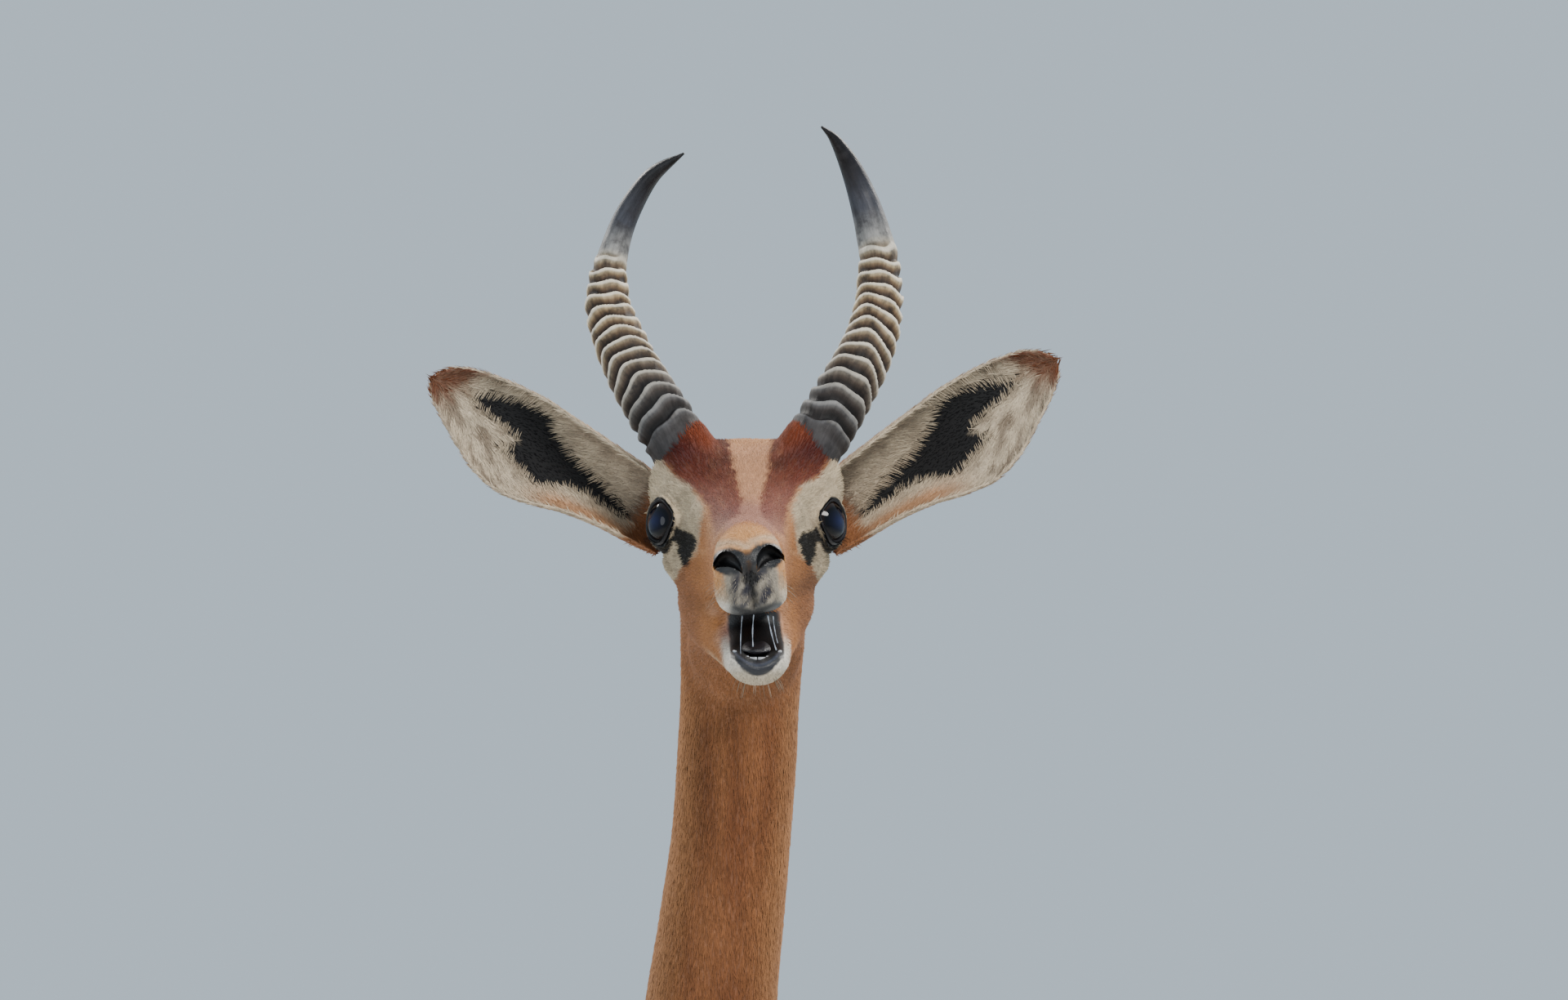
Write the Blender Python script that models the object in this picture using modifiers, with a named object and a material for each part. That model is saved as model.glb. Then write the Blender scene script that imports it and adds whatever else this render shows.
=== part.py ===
"""A life-size male gerenuk, standing on all four feet with its neck upright and its mouth open.

The animal faces -Y and its left side is +X. Z is up and the hooves stand on z = 0.
The head is drawn in millimetres from the point midway between the eyes, and turned a little to its left.
The body is drawn in metres from the floor.
"""

import math

import bmesh
import bpy
import numpy as np
from mathutils import Matrix, Vector
from mathutils.bvhtree import BVHTree

MM = 0.001
GAP = 0.0003

# The driving sizes of the animal
EYE_POINT = Vector((0.0, -0.392, 1.452))
HEAD_TURN = math.radians(0.8)
HEAD_PIVOT_Y = 60.0
BODY_X = -0.026
LEG_X = 0.064
ELBOW_CUT_Z = 0.640
STIFLE_CUT_Z = 0.674
CARPUS_CUT_Z = 0.338
HOCK_CUT_Z = 0.405
CORONET_Z = 0.046
HOOF_LENGTH = 0.055

# The eyeball, in the head's millimetres
EYE_RADIUS = 17.0
EYE_SIDE = 38.0
EYE_BACK = 2.0
EYE_RISE = -1.5
EYE_OUT_ANGLE = math.radians(56)
LID_LONG = math.radians(54)
LID_TALL = math.radians(51)
LID_TILT = math.radians(12)
LID_THICK = 2.2
MUZZLE_ROLL = math.radians(-8)

# Grain of the fused meshes and their triangle counts
HEAD_VOXEL = 1.3 * MM
BODY_VOXEL = 5.0 * MM
HEAD_TRIANGLES = 4400
BODY_TRIANGLES = 4100

# Rows of the head from nose to nape: y, top, bottom, half width, height of the widest line,
# and how square the section is above and below it
SKULL = [
    (-161, -22, -41, 6, -29, 2.0, 2.0),
    (-159, -17, -48.5, 12, -29, 2.0, 2.1),
    (-155, -13, -52.5, 16.4, -29, 2.1, 2.3),
    (-148, -7.5, -53.5, 19.4, -29, 2.3, 2.5),
    (-138, -3.5, -54.5, 20.6, -28, 2.3, 2.7),
    (-122, 0, -53, 20.4, -27, 2.2, 2.8),
    (-100, 4.5, -51, 21.5, -25, 2.1, 2.7),
    (-75, 9.5, -50, 24, -22, 2.1, 2.5),
    (-50, 18, -52, 30, -17, 2.2, 2.3),
    (-25, 27, -55, 39, -8, 2.3, 2.2),
    (0, 36, -57, 46.5, 2, 2.5, 2.3),
    (20, 42.5, -58, 48, 7, 2.6, 2.4),
    (40, 47, -56, 45, 8, 2.4, 2.2),
    (58, 47, -46, 38.5, 8, 2.2, 2.0),
    (74, 41, -36, 33, 4, 2.0, 2.0),
    (88, 30, -26, 27, 2, 2.0, 2.0),
    (97, 16, -14, 16, 1, 2.0, 2.0),
]

# The lower jaw, opened and slid a little to the animal's left, in the same columns
JAW = [
    (-149, -76, -82, 5, -79, 2.0, 2.0),
    (-147, -73.5, -85.5, 10, -78.5, 2.0, 2.0),
    (-142, -71.5, -89, 14.5, -78, 2.4, 2.1),
    (-133, -70, -91, 16.8, -78, 2.8, 2.1),
    (-118, -68, -91.5, 17.4, -77, 3.0, 2.1),
    (-98, -62.5, -90, 19, -75, 2.8, 2.1),
    (-82, -55.5, -88, 21, -71, 2.4, 2.1),
    (-66, -51, -85.5, 24, -67, 2.2, 2.1),
    (-45, -48, -82, 27.5, -65, 2.2, 2.1),
    (-15, -43, -79.5, 32, -61, 2.0, 2.1),
    (12, -36, -74, 34, -55, 2.0, 2.1),
    (34, -30, -62, 30, -46, 2.0, 2.0),
]
JAW_SLIDE = 4.5

# The cheek that closes the mouth behind its corner
CHEEK = [
    (-84, -48, -58, 12, -53, 2.0, 2.0),
    (-79, -44, -63, 18, -54, 2.4, 2.4),
    (-62, -40, -70, 23, -55, 2.4, 2.4),
    (-35, -33, -75, 29, -54, 2.3, 2.3),
    (-4, -26, -75, 37, -49, 2.2, 2.2),
    (20, -22, -70, 39, -45, 2.2, 2.2),
    (40, -22, -62, 33, -42, 2.1, 2.1),
    (54, -28, -54, 20, -41, 2.0, 2.0),
]

# The soft throat between the jaw's angles and the neck
THROAT = [
    (-22, -58, -74, 14, -66, 2.0, 2.0),
    (-12, -52, -81, 24, -66, 2.0, 2.0),
    (6, -44, -89, 30, -66, 2.0, 2.0),
    (24, -40, -99, 33, -68, 2.0, 2.0),
    (42, -40, -106, 33, -70, 2.0, 2.0),
    (60, -44, -104, 26, -72, 2.0, 2.0),
]

# Rows of the trunk from breast to rump, in metres
TRUNK = [
    (-0.352, 0.860, 0.790, 0.014, 0.825, 2.0, 2.0),
    (-0.342, 0.885, 0.755, 0.040, 0.815, 2.0, 2.0),
    (-0.318, 0.912, 0.718, 0.062, 0.805, 2.0, 2.0),
    (-0.280, 0.942, 0.688, 0.077, 0.792, 2.0, 2.0),
    (-0.230, 0.968, 0.662, 0.088, 0.780, 1.9, 2.1),
    (-0.150, 0.985, 0.648, 0.095, 0.770, 1.8, 2.1),
    (-0.060, 0.978, 0.641, 0.103, 0.770, 1.9, 2.1),
    (0.040, 0.963, 0.643, 0.111, 0.775, 2.0, 2.1),
    (0.130, 0.954, 0.656, 0.112, 0.785, 2.1, 2.1),
    (0.215, 0.960, 0.680, 0.104, 0.800, 2.1, 2.0),
    (0.290, 0.968, 0.706, 0.096, 0.820, 2.1, 2.0),
    (0.365, 0.963, 0.736, 0.090, 0.835, 2.0, 2.0),
    (0.425, 0.943, 0.766, 0.078, 0.850, 2.0, 2.0),
    (0.470, 0.910, 0.800, 0.054, 0.855, 2.0, 2.0),
    (0.494, 0.875, 0.832, 0.020, 0.852, 2.0, 2.0),
]

# Rows of the neck from skull to chest: x, y, z of its middle, half width, reach to nape and throat
NECK = [
    (0.000, -0.335, 1.452, 0.032, 0.040, 0.034),
    (-0.001, -0.331, 1.400, 0.0355, 0.043, 0.040),
    (-0.003, -0.323, 1.349, 0.0352, 0.0435, 0.042),
    (-0.007, -0.309, 1.285, 0.0350, 0.045, 0.045),
    (-0.013, -0.295, 1.230, 0.0365, 0.049, 0.049),
    (-0.019, -0.282, 1.182, 0.0385, 0.053, 0.054),
    (-0.024, -0.268, 1.120, 0.0435, 0.064, 0.064),
    (-0.026, -0.251, 1.050, 0.0530, 0.081, 0.080),
    (-0.026, -0.230, 0.970, 0.0630, 0.106, 0.106),
    (-0.026, -0.205, 0.880, 0.0600, 0.120, 0.136),
]

# Rows of a foreleg from shoulder to coronet, its x from the body's middle: x, y, z, half width,
# reach to the rear and to the front
FORELEG = [
    (0.046, -0.215, 0.860, 0.034, 0.060, 0.066),
    (0.054, -0.232, 0.790, 0.037, 0.062, 0.066),
    (0.061, -0.222, 0.730, 0.036, 0.056, 0.054),
    (0.064, -0.198, 0.672, 0.0315, 0.044, 0.040),
    (0.064, -0.189, 0.610, 0.0270, 0.034, 0.033),
    (0.064, -0.186, 0.530, 0.0230, 0.027, 0.027),
    (0.064, -0.186, 0.440, 0.0185, 0.0205, 0.0205),
    (0.064, -0.187, 0.385, 0.0205, 0.0215, 0.0215),
    (0.064, -0.186, 0.355, 0.0195, 0.0205, 0.0205),
    (0.064, -0.183, 0.318, 0.0140, 0.0165, 0.0145),
    (0.064, -0.183, 0.240, 0.0112, 0.0138, 0.0122),
    (0.064, -0.184, 0.155, 0.0120, 0.0150, 0.0128),
    (0.064, -0.187, 0.118, 0.0165, 0.0205, 0.0165),
    (0.064, -0.200, 0.082, 0.0140, 0.0150, 0.0150),
    (0.064, -0.216, 0.052, 0.0165, 0.0180, 0.0180),
    (0.064, -0.222, 0.040, 0.0170, 0.0185, 0.0185),
]

# Rows of a hind leg from hip to coronet, in the same columns
HINDLEG = [
    (0.040, 0.372, 0.905, 0.042, 0.086, 0.090),
    (0.052, 0.360, 0.840, 0.048, 0.096, 0.104),
    (0.060, 0.342, 0.765, 0.046, 0.086, 0.094),
    (0.066, 0.330, 0.700, 0.039, 0.062, 0.070),
    (0.068, 0.336, 0.640, 0.032, 0.044, 0.050),
    (0.067, 0.358, 0.570, 0.0255, 0.031, 0.034),
    (0.065, 0.386, 0.500, 0.0195, 0.0235, 0.0245),
    (0.064, 0.410, 0.448, 0.0180, 0.0225, 0.0195),
    (0.064, 0.417, 0.412, 0.0195, 0.0240, 0.0205),
    (0.064, 0.415, 0.368, 0.0165, 0.0195, 0.0175),
    (0.064, 0.410, 0.300, 0.0125, 0.0150, 0.0135),
    (0.064, 0.403, 0.200, 0.0116, 0.0142, 0.0128),
    (0.064, 0.398, 0.150, 0.0126, 0.0160, 0.0138),
    (0.064, 0.395, 0.118, 0.0165, 0.0210, 0.0165),
    (0.064, 0.380, 0.082, 0.0140, 0.0150, 0.0150),
    (0.064, 0.364, 0.052, 0.0165, 0.0180, 0.0180),
    (0.064, 0.358, 0.040, 0.0170, 0.0185, 0.0185),
]

# Rows of the tail's core from root to tip
TAIL = [
    (0.0, 0.440, 0.888, 0.022, 0.020, 0.020),
    (0.0, 0.482, 0.886, 0.019, 0.017, 0.017),
    (0.0, 0.508, 0.856, 0.0150, 0.013, 0.013),
    (0.0, 0.521, 0.810, 0.0120, 0.010, 0.010),
    (0.0, 0.524, 0.745, 0.0100, 0.0085, 0.0085),
    (0.0, 0.524, 0.690, 0.0085, 0.0075, 0.0075),
    (0.0, 0.523, 0.655, 0.0050, 0.0045, 0.0045),
]

# The middle line of each horn, in the head's millimetres, from its base to its tip
HORN_LEFT = [
    (32.5, 17, 33.0),
    (41.0, 23, 47.0),
    (54.3, 37, 69.0),
    (65.8, 55, 89.2),
    (73.6, 74, 109.0),
    (76.8, 91, 128.3),
    (76.8, 103, 145.8),
    (73.1, 110, 165.1),
    (67.2, 111, 184.9),
    (58.9, 105, 204.2),
    (50.1, 96, 218.0),
    (43.7, 90, 223.6),
]
HORN_RIGHT = [
    (-32.5, 17, 33.0),
    (-41.0, 23, 47.0),
    (-52.5, 36, 65.5),
    (-63.5, 54, 84.5),
    (-72.0, 73, 104.0),
    (-77.7, 90, 122.8),
    (-77.7, 101, 137.0),
    (-74.6, 108, 151.0),
    (-70.2, 110, 165.5),
    (-62.3, 106, 182.0),
    (-51.3, 98, 197.0),
    (-34.5, 86, 208.4),
]
# How thick each horn is, as share of its length and half width
GIRTH_LEFT = [
    (0, 17.2), (0.15, 16.0), (0.3, 14.8), (0.45, 13.6), (0.58, 11.8), (0.7, 9.9), (0.82, 7.3), (0.92, 4.2), (1, 0.6)
]
GIRTH_RIGHT = [
    (0, 17.2), (0.15, 16.0), (0.3, 14.8), (0.45, 13.3), (0.58, 10.8), (0.7, 8.0), (0.82, 6.2), (0.92, 4.0), (1, 0.6)
]
HORN_RINGS = 15
HORN_RINGED_SHARE = 0.66
HORN_BASE_DEPTH = 1.22
RING_HEIGHT = 2.2

# An ear: its middle line, then share of the length, reach above, reach below and depth of the cup
EAR_LINE = [(42, 43, -8), (59, 41, 4), (100, 47, 35), (140, 54, 64.5), (176, 61, 90.6)]
EAR_ACROSS = Vector((-0.593, 0.0, 0.805))
EAR_SHAPE = [
    (0.0, 18, 14, 18),
    (0.10, 23, 16, 24),
    (0.22, 25, 18, 26),
    (0.36, 25, 23, 24),
    (0.50, 25, 31, 20),
    (0.60, 25.3, 34.2, 16),
    (0.70, 24, 31.5, 12.5),
    (0.80, 21.5, 24.5, 10),
    (0.90, 17, 16, 7),
    (0.96, 11.5, 10, 4),
    (1.0, 3.5, 3.0, 1),
]
EAR_THICK = 2.6
EAR_DROOP_RIGHT = math.radians(3.2)
EAR_SIZE_RIGHT = 0.97
EAR_CURL = 0.3


def clear_scene():
    for thing in list(bpy.data.objects):
        bpy.data.objects.remove(thing, do_unlink=True)


def collection(name, shown=True):
    made = bpy.data.collections.new(name)
    bpy.context.scene.collection.children.link(made)
    made.hide_render = not shown
    return made


def material(name, colour, roughness, metallic=0.0):
    made = bpy.data.materials.new(name)
    made.use_nodes = True
    shader = made.node_tree.nodes["Principled BSDF"]
    shader.inputs["Base Color"].default_value = (*colour, 1.0)
    shader.inputs["Roughness"].default_value = roughness
    shader.inputs["Metallic"].default_value = metallic
    made.diffuse_color = (*colour, 1.0)
    return made


def curve_through(knots, values, wanted):
    """Reads smooth curves through the rows of values, without overshoot, at the wanted places."""
    knots = np.asarray(knots, float)
    values = np.asarray(values, float)
    step = np.diff(knots)[:, None]
    slope = np.diff(values, axis=0) / step
    before, after = slope[:-1], slope[1:]
    same_way = before * after > 0
    total = np.where(same_way, before + after, 1.0)
    inner = np.where(same_way, 2 * before * after / total, 0.0)
    tangent = np.vstack([slope[:1], inner, slope[-1:]])
    wanted = np.clip(wanted, knots[0], knots[-1])
    span = np.clip(np.searchsorted(knots, wanted, side="right") - 1, 0, len(knots) - 2)
    width = step[span]
    t = ((wanted - knots[span]) / width[:, 0])[:, None]
    return (
        (2 * t**3 - 3 * t**2 + 1) * values[span]
        + (t**3 - 2 * t**2 + t) * width * tangent[span]
        + (3 * t**2 - 2 * t**3) * values[span + 1]
        + (t**3 - t**2) * width * tangent[span + 1]
    )


def along(rows, places):
    """The running length along the first few columns of the rows."""
    steps = np.linalg.norm(np.diff(np.asarray(rows, float)[:, places], axis=0), axis=1)
    return np.concatenate([[0.0], np.cumsum(steps)])


def loft(name, rings):
    """A closed tube through rings of points, each ring a row of the array, with a fan over each end."""
    rings = np.asarray(rings, float)
    rows, around = rings.shape[:2]
    mesh = bmesh.new()
    grid = [[mesh.verts.new(point) for point in ring] for ring in rings]
    for row in range(rows - 1):
        for k in range(around):
            after = (k + 1) % around
            mesh.faces.new((grid[row][k], grid[row][after], grid[row + 1][after], grid[row + 1][k]))
    for ring, last in ((grid[0], False), (grid[-1], True)):
        hub = mesh.verts.new(sum((v.co for v in ring), Vector()) / around)
        for k in range(around):
            after = (k + 1) % around
            corners = (ring[k], ring[after], hub) if last else (ring[after], ring[k], hub)
            mesh.faces.new(corners)
    bmesh.ops.recalc_face_normals(mesh, faces=mesh.faces)
    data = bpy.data.meshes.new(name)
    mesh.to_mesh(data)
    mesh.free()
    made = bpy.data.objects.new(name, data)
    WORKSHOP.objects.link(made)
    return made


def oval(half_width, up, down, power_up, power_down, around):
    """Points round a section as side and rise, whose upper and lower halves may differ."""
    turn = np.linspace(0, 2 * math.pi, around, endpoint=False)
    sine, cosine = np.sin(turn), np.cos(turn)
    upper = cosine >= 0
    power = np.where(upper, power_up, power_down)
    side = half_width * np.sign(sine) * np.abs(sine) ** (2 / power)
    rise = np.where(upper, up, down) * np.sign(cosine) * np.abs(cosine) ** (2 / power)
    return side, rise


def profile_rings(table, rows, around):
    """Upright rings along Y from rows of y, top, bottom, half width, widest height and the two powers."""
    table = np.asarray(table, float)
    wanted = np.linspace(table[0, 0], table[-1, 0], rows)
    rings = []
    for y, top, bottom, half_width, widest, power_up, power_down in curve_through(
        table[:, 0], table, wanted
    ):
        side, rise = oval(half_width, top - widest, widest - bottom, power_up, power_down, around)
        rings.append(np.column_stack([side, np.full(around, y), widest + rise]))
    return np.array(rings)


def limb_rings(table, rows, around):
    """Rings square to a path that runs down or back, from rows of x, y, z, half width, rear and front reach."""
    table = np.asarray(table, float)
    knots = along(table, slice(0, 3))
    wanted = np.linspace(0, knots[-1], rows)
    lines = curve_through(knots, table, wanted)
    path = lines[:, :3]
    tangent = np.gradient(path, axis=0)
    tangent /= np.linalg.norm(tangent, axis=1)[:, None]
    across = np.array([1.0, 0.0, 0.0])
    rings = []
    for centre, way, (half_width, rear, front) in zip(path, tangent, lines[:, 3:]):
        back = np.cross(across, way)
        back /= np.linalg.norm(back)
        side, rise = oval(half_width, rear, front, 2.1, 2.1, around)
        rings.append(centre + side[:, None] * across + rise[:, None] * back)
    return np.array(rings)


def shifted(table, x, mirror=1):
    """The rows of a limb, set on the body's own middle and on one side of it."""
    return [(x + mirror * row[0], *row[1:]) for row in table]


def in_world(points):
    """Head millimetres turned and moved to the frame in metres."""
    points = np.asarray(points, float) - (0, HEAD_PIVOT_Y, 0)
    cosine, sine = math.cos(HEAD_TURN), math.sin(HEAD_TURN)
    turn = np.array([[cosine, -sine, 0], [sine, cosine, 0], [0, 0, 1]])
    return (points @ turn.T + (0, HEAD_PIVOT_Y, 0)) * MM + np.array(EYE_POINT)


def swell(points, centre, reach, push):
    """Moves the points near a centre by push, fading smoothly over the reach along each axis."""
    apart = ((points - np.asarray(centre, float)) / np.asarray(reach, float)) ** 2
    return points + np.exp(-apart.sum(-1))[..., None] * np.asarray(push, float)


def eye_frame(side):
    """The eyeball's middle and its outward, lengthwise and upward directions, in head millimetres."""
    centre = np.array([side * EYE_SIDE, EYE_BACK, EYE_RISE])
    out = np.array([side * math.sin(EYE_OUT_ANGLE), -math.cos(EYE_OUT_ANGLE), 0.06])
    out /= np.linalg.norm(out)
    level = np.array([side * math.cos(EYE_OUT_ANGLE), math.sin(EYE_OUT_ANGLE), 0.0])
    rise = np.cross(level, out) * side
    rise /= np.linalg.norm(rise)
    level = np.cross(out, rise) * side
    length = math.cos(LID_TILT) * level + math.sin(LID_TILT) * rise
    upright = math.cos(LID_TILT) * rise - math.sin(LID_TILT) * level
    return centre, out, length, upright


def shape_lids(points, side):
    """Draws the skin round one eye into two lids on a ball, with a hollow inside their rim."""
    centre, out, length, upright = eye_frame(side)
    arm = points - centre
    far = np.linalg.norm(arm, axis=-1)
    ahead = arm @ out
    spread = np.hypot(
        np.arctan2(arm @ length, ahead) / LID_LONG, np.arctan2(arm @ upright, ahead) / LID_TALL
    )
    lid = EYE_RADIUS + LID_THICK
    hollow = EYE_RADIUS - 5
    inside = np.clip((1.04 - spread) / 0.14, 0, 1)
    target = lid + (hollow - lid) * inside
    hold = np.clip((2.1 - spread) / 0.9, 0, 1)
    hold = hold * hold * (3 - 2 * hold) * (far < 40) * (ahead > 0)
    wanted = far + (target - far) * hold
    wanted = np.where((spread > 1.04) & (wanted < lid), lid, wanted)
    return centre + arm * (wanted / np.maximum(far, 1e-6))[..., None]


def skull_points(rows, around):
    """The cranium and upper jaw, with brows, pedicels, hollows, nose and lips pushed out of a plain loft."""
    points = profile_rings(SKULL, rows, around)
    for side in (-1, 1):
        points = swell(points, (side * 46, 4, 10), (16, 24, 17), (side * 6, 0, 0))
        points = swell(points, (side * 46, 18, 28), (16, 22, 16), (side * 7, 0, 2))
        points = swell(points, (side * 34, 10, 40), (17, 22, 18), (side * 8, -1, 12))
        points = swell(points, (side * 30, -38, -10), (12, 20, 12), (side * -3.5, 0, 0))
        points = swell(points, (side * 44, 8, -26), (14, 26, 7), (side * 3, 0, 0))
        points = swell(points, (side * 40, 34, 20), (14, 16, 14), (side * -3, 0, 0))
        points = swell(points, (side * 16, -148, -24), (6, 8, 8), (side * 1.6, -0.6, 0.6))
        points = swell(points, (side * 10, -152, -44), (7, 8, 8), (0, -2.0, -0.4))
        points = swell(points, (side * 19, -128, -46), (6, 20, 7), (side * 1.2, 0, -0.6))
        points = shape_lids(points, side)
    points = swell(points, (0, 20, 46), (14, 30, 14), (0, 0, -2.5))
    points = swell(points, (0, -108, -52), (10.5, 27, 9), (0, 0, 11))
    points = swell(points, (0, -159, -40), (1.8, 9, 12), (0, 2.6, 0))
    points = swell(points, (0, -128, 2), (12, 14, 8), (0, 0, 1.5))
    return twisted(points)


def twisted(points):
    """The muzzle as the chewing animal holds it, rolled a few degrees towards its tip."""
    roll = MUZZLE_ROLL * np.clip((-90 - points[..., 1]) / 60, 0, 1)
    x, z = points[..., 0].copy(), points[..., 2] + 28
    points[..., 0] = x * np.cos(roll) + z * np.sin(roll)
    points[..., 2] = z * np.cos(roll) - x * np.sin(roll) - 28
    return points


def jaw_points(rows, around):
    """The lower jaw, with a trough between its lips and a rounded chin."""
    points = profile_rings(JAW, rows, around)
    points = swell(points, (0, -122, -68), (10, 21, 8), (0, 0, -7.5))
    points = swell(points, (0, -138, -88), (11, 12, 6), (0, 0, -1.2))
    slide = np.clip((-points[..., 1] - 20) / 80, 0, 1) * JAW_SLIDE
    points[..., 0] += slide
    return points


def horn_shares(rows_to_a_ring, rows_beyond):
    """Places along a horn, so many to each of its rings and the rest over the smooth tip."""
    ringed = np.linspace(0, HORN_RINGED_SHARE, HORN_RINGS * rows_to_a_ring + 1)
    return np.concatenate([ringed, np.linspace(HORN_RINGED_SHARE, 1, rows_beyond + 1)[1:]])


def horn_points(line, girth, share, around):
    """A horn as rings along its line, with raised annual ridges that fade towards the tip and the back."""
    line = np.asarray(line, float)
    knots = along(line, slice(0, 3))
    path = curve_through(knots, line, share * knots[-1])
    ahead_a_little = curve_through(knots, line, (share + 0.01) * knots[-1])
    tangent = ahead_a_little - curve_through(knots, line, (share - 0.01) * knots[-1])
    tangent /= np.linalg.norm(tangent, axis=1)[:, None]
    girth = np.asarray(girth, float)
    radius = curve_through(girth[:, 0], girth[:, 1:], share)[:, 0]
    turn = np.linspace(0, 2 * math.pi, around, endpoint=False)
    rings = []
    for where, centre, way, r in zip(share, path, tangent, radius):
        side = np.array([1.0, 0, 0]) - way[0] * way
        side /= np.linalg.norm(side)
        front = np.cross(side, way)
        front *= -np.sign(front[1]) or 1
        depth = 1 + (HORN_BASE_DEPTH - 1) * (1 - where)
        bump = np.zeros(around)
        if where < HORN_RINGED_SHARE:
            wave = 0.5 - 0.5 * math.cos(2 * math.pi * where / HORN_RINGED_SHARE * HORN_RINGS)
            faded = np.clip(min((HORN_RINGED_SHARE - where) / 0.12, (where - 0.05) / 0.04), 0, 1)
            bump = RING_HEIGHT * (wave - 0.4) * faded * (0.65 + 0.35 * np.cos(turn))
        across = (r + bump) * np.sin(turn)
        ahead = (r + bump) * depth * np.cos(turn)
        rings.append(centre + across[:, None] * side + ahead[:, None] * front)
    return np.array(rings)


def ear_points(side, rows, across):
    """The open cup of an ear as a sheet, from its root in the head to its tip."""
    line = np.asarray(EAR_LINE, float)
    knots = along(line, slice(0, 3))
    share = np.linspace(0, 1, rows) ** 0.9
    path = curve_through(knots, line, share * knots[-1])
    shape = np.asarray(EAR_SHAPE, float)
    sizes = curve_through(shape[:, 0], shape[:, 1:], share)
    v = np.linspace(-1, 1, across)
    sheet = []
    for where, centre, (above, below, depth) in zip(share, path, sizes):
        bend = v * math.pi / 2 * (1 + EAR_CURL * (1 - where) ** 2)
        reach = np.where(v > 0, above, below) * np.sin(bend)
        back = depth * np.cos(bend)
        sheet.append(centre + reach[:, None] * np.array(EAR_ACROSS) + back[:, None] * (0, 1, 0))
    sheet = np.array(sheet)
    if side < 0:
        sheet = drooped(sheet, line[0], EAR_DROOP_RIGHT)
    return sheet * (side, 1, 1)


def drooped(points, pivot, angle):
    """The ear swung down about its root."""
    arm = (points - pivot) * EAR_SIZE_RIGHT
    cosine, sine = math.cos(angle), math.sin(angle)
    x = arm[..., 0] * cosine + arm[..., 2] * sine
    z = arm[..., 2] * cosine - arm[..., 0] * sine
    return np.stack([x, arm[..., 1], z], axis=-1) + pivot


def sheet_object(name, grid, thickness):
    """An open sheet of points made solid by Solidify, with its inner face left in place."""
    rows, across = grid.shape[:2]
    mesh = bmesh.new()
    verts = [[mesh.verts.new(point) for point in row] for row in grid]
    for i in range(rows - 1):
        for j in range(across - 1):
            a, b, c, d = verts[i][j], verts[i][j + 1], verts[i + 1][j + 1], verts[i + 1][j]
            mesh.faces.new((a, b, c))
            mesh.faces.new((a, c, d))
    data = bpy.data.meshes.new(name)
    mesh.to_mesh(data)
    mesh.free()
    made = bpy.data.objects.new(name, data)
    WORKSHOP.objects.link(made)
    thick = made.modifiers.new("thickness", "SOLIDIFY")
    thick.thickness = thickness
    thick.offset = 0
    thick.use_even_offset = False
    return made


def settled(thing):
    """The object with its modifiers applied."""
    graph = bpy.context.evaluated_depsgraph_get()
    mesh = bpy.data.meshes.new_from_object(thing.evaluated_get(graph))
    thing.modifiers.clear()
    thing.data = mesh
    return thing


def removed(*things):
    for thing in things:
        bpy.data.objects.remove(thing, do_unlink=True)


def joined(name, things):
    """One object that holds the meshes of the others, which are removed."""
    mesh = bmesh.new()
    for thing in things:
        mesh.from_mesh(thing.data)
    data = bpy.data.meshes.new(name)
    mesh.to_mesh(data)
    mesh.free()
    removed(*things)
    made = bpy.data.objects.new(name, data)
    WORKSHOP.objects.link(made)
    return made


def crease_weights(points, trees, reach):
    """How near each point is to a second of the fused forms, from 0 beyond the reach to 1 on the crease."""
    found = np.empty((len(trees), len(points)))
    for row, tree in enumerate(trees):
        for k, point in enumerate(points):
            hit = tree.find_nearest(point, reach * 2)
            found[row, k] = reach * 2 if hit[3] is None else hit[3]
    found.sort(axis=0)
    weight = np.clip(1 - found[1] / reach, 0, 1)
    return weight * weight * (3 - 2 * weight)


def fused(name, forms, voxel, reach, rounds, polish):
    """The forms as one skin: a voxel remesh, then smoothing that is strong only where two of them meet."""
    trees = []
    for form in forms:
        mesh = form.data
        trees.append(
            BVHTree.FromPolygons([v.co for v in mesh.vertices], [tuple(p.vertices) for p in mesh.polygons])
        )
    whole = joined(name, forms)
    grain = whole.modifiers.new("grain", "REMESH")
    grain.mode = "VOXEL"
    grain.voxel_size = voxel
    settled(whole)
    weights = crease_weights([v.co for v in whole.data.vertices], trees, reach)
    group = whole.vertex_groups.new(name="crease")
    for index in np.nonzero(weights > 0.01)[0]:
        group.add([int(index)], float(weights[index]), "REPLACE")
    blend = whole.modifiers.new("blend", "SMOOTH")
    blend.factor = 0.5
    blend.iterations = rounds
    blend.vertex_group = "crease"
    even = whole.modifiers.new("even", "SMOOTH")
    even.factor = 0.5
    even.iterations = polish
    return settled(whole)


def thinned(thing, triangles):
    """The object with fewer triangles, kept where the form turns most."""
    count = sum(len(p.vertices) - 2 for p in thing.data.polygons)
    fewer = thing.modifiers.new("fewer", "DECIMATE")
    fewer.ratio = min(1.0, triangles / count)
    fewer.use_collapse_triangulate = True
    return settled(thing)


def boolean(thing, others, operation):
    """Applies one Boolean with a list of closed objects, which are then removed."""
    tools = bpy.data.collections.new("tools")
    bpy.context.scene.collection.children.link(tools)
    for other in others:
        for owner in list(other.users_collection):
            owner.objects.unlink(other)
        tools.objects.link(other)
        other.hide_render = True
    change = thing.modifiers.new("boolean", "BOOLEAN")
    change.operation = operation
    change.operand_type = "COLLECTION"
    change.collection = tools
    change.solver = "EXACT"
    settled(thing)
    removed(*others)
    bpy.data.collections.remove(tools)
    return thing


def copied(thing, name):
    made = thing.copy()
    made.data = thing.data.copy()
    made.name = name
    WORKSHOP.objects.link(made)
    return made


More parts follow.
